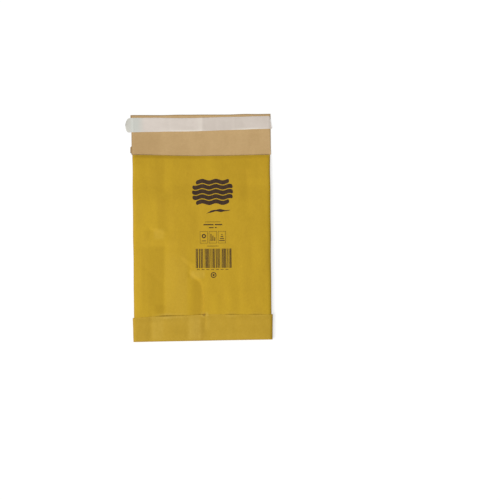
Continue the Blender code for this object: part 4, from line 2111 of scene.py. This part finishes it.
@dataclass
class Studio:
    """The white table, the soft light and the camera straight above it."""

    picture_pixels: float = 500.0
    metres_per_pixel: float = 0.001342
    object_pixel: Place = (201.75, 227.4)
    turned: float = math.radians(0.57)
    lens: float = 85.0
    sensor: float = 36.0
    level: float = 0.008
    ambient: float = 0.38
    seen_white: float = 1.0
    key_share: float = 0.62
    key_spread: float = math.radians(42)
    key_from: tuple[float, float, float] = (-0.66, -0.40, 1.0)
    floor_reach: float = 4.0
    floor_z: float = -0.0002

    def camera(self) -> None:
        """Looks straight down, with the mailer where the picture has it."""
        span = self.picture_pixels * self.metres_per_pixel
        right = (self.picture_pixels / 2 - self.object_pixel[0]) * self.metres_per_pixel
        down = (self.picture_pixels / 2 - self.object_pixel[1]) * self.metres_per_pixel
        cos, sin = math.cos(self.turned), math.sin(self.turned)
        data = bpy.data.cameras.new("camera")
        data.lens, data.sensor_width = self.lens, self.sensor
        camera = bpy.data.objects.new("camera", data)
        camera.location = (
            right * cos - down * sin,
            -right * sin - down * cos,
            self.level + span * self.lens / self.sensor,
        )
        camera.rotation_euler = (0.0, 0.0, -self.turned)
        bpy.context.scene.collection.objects.link(camera)
        bpy.context.scene.camera = camera

    def lamp(self) -> None:
        """One wide soft lamp from the foot's left."""
        data = bpy.data.lights.new("key", "SUN")
        lamp = bpy.data.objects.new("key", data)
        lamp.location = self.key_from
        towards = -lamp.location.normalized()
        data.angle = self.key_spread
        data.energy = math.pi * self.key_share / -towards.z
        lamp.rotation_euler = towards.to_track_quat("-Z", "Y").to_euler()
        bpy.context.scene.collection.objects.link(lamp)

    def room(self) -> None:
        """An even white room, which the camera sees as full white."""
        world = bpy.data.worlds.new("room")
        bpy.context.scene.world = world
        graph = Graph(world)
        lit = graph.node("ShaderNodeBackground", inputs={"Color": WHITE, "Strength": self.ambient})
        seen = graph.node("ShaderNodeBackground", inputs={"Color": WHITE, "Strength": self.seen_white})
        graph.node("ShaderNodeOutputWorld", inputs={"Surface": graph.seen_as(lit, seen)})

    def floor(self) -> None:
        """A wide white floor just under the mailer."""
        mesh = bpy.data.meshes.new("floor")
        reach, z = self.floor_reach, self.floor_z
        corners = [(-reach, -reach, z), (reach, -reach, z), (reach, reach, z), (-reach, reach, z)]
        mesh.from_pydata(corners, [], [(0, 1, 2, 3)])
        mesh.materials.append(WHITE_FLOOR.material())
        floor = bpy.data.objects.new("floor", mesh)
        bpy.context.scene.collection.objects.link(floor)

    def build(self) -> None:
        """Sets the studio up."""
        self.camera()
        self.lamp()
        self.room()
        self.floor()
        bpy.context.scene.view_settings.view_transform = "Standard"


def mailer_form() -> MailerForm:
    """Makes the form, with its outline read from the frame.

    Returns:
        The form.
    """
    _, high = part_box("padded_wallet")
    half_body, half_flap = high.x - BODY_INSET, high.x + FLAP_OVERHANG
    return MailerForm(half_body=half_body, half_flap=half_flap, half_length=high.y)


def main() -> None:
    """Builds the mailer and its studio."""
    logging.basicConfig(level=logging.INFO, format="%(name)s: %(message)s")
    form = mailer_form()
    PaddedWallet(form).build()
    PocketLining(form).build()
    PeelStrip(form).build()
    BackPrint(form).build()
    Studio().build()


if __name__ == "__main__":
    main()
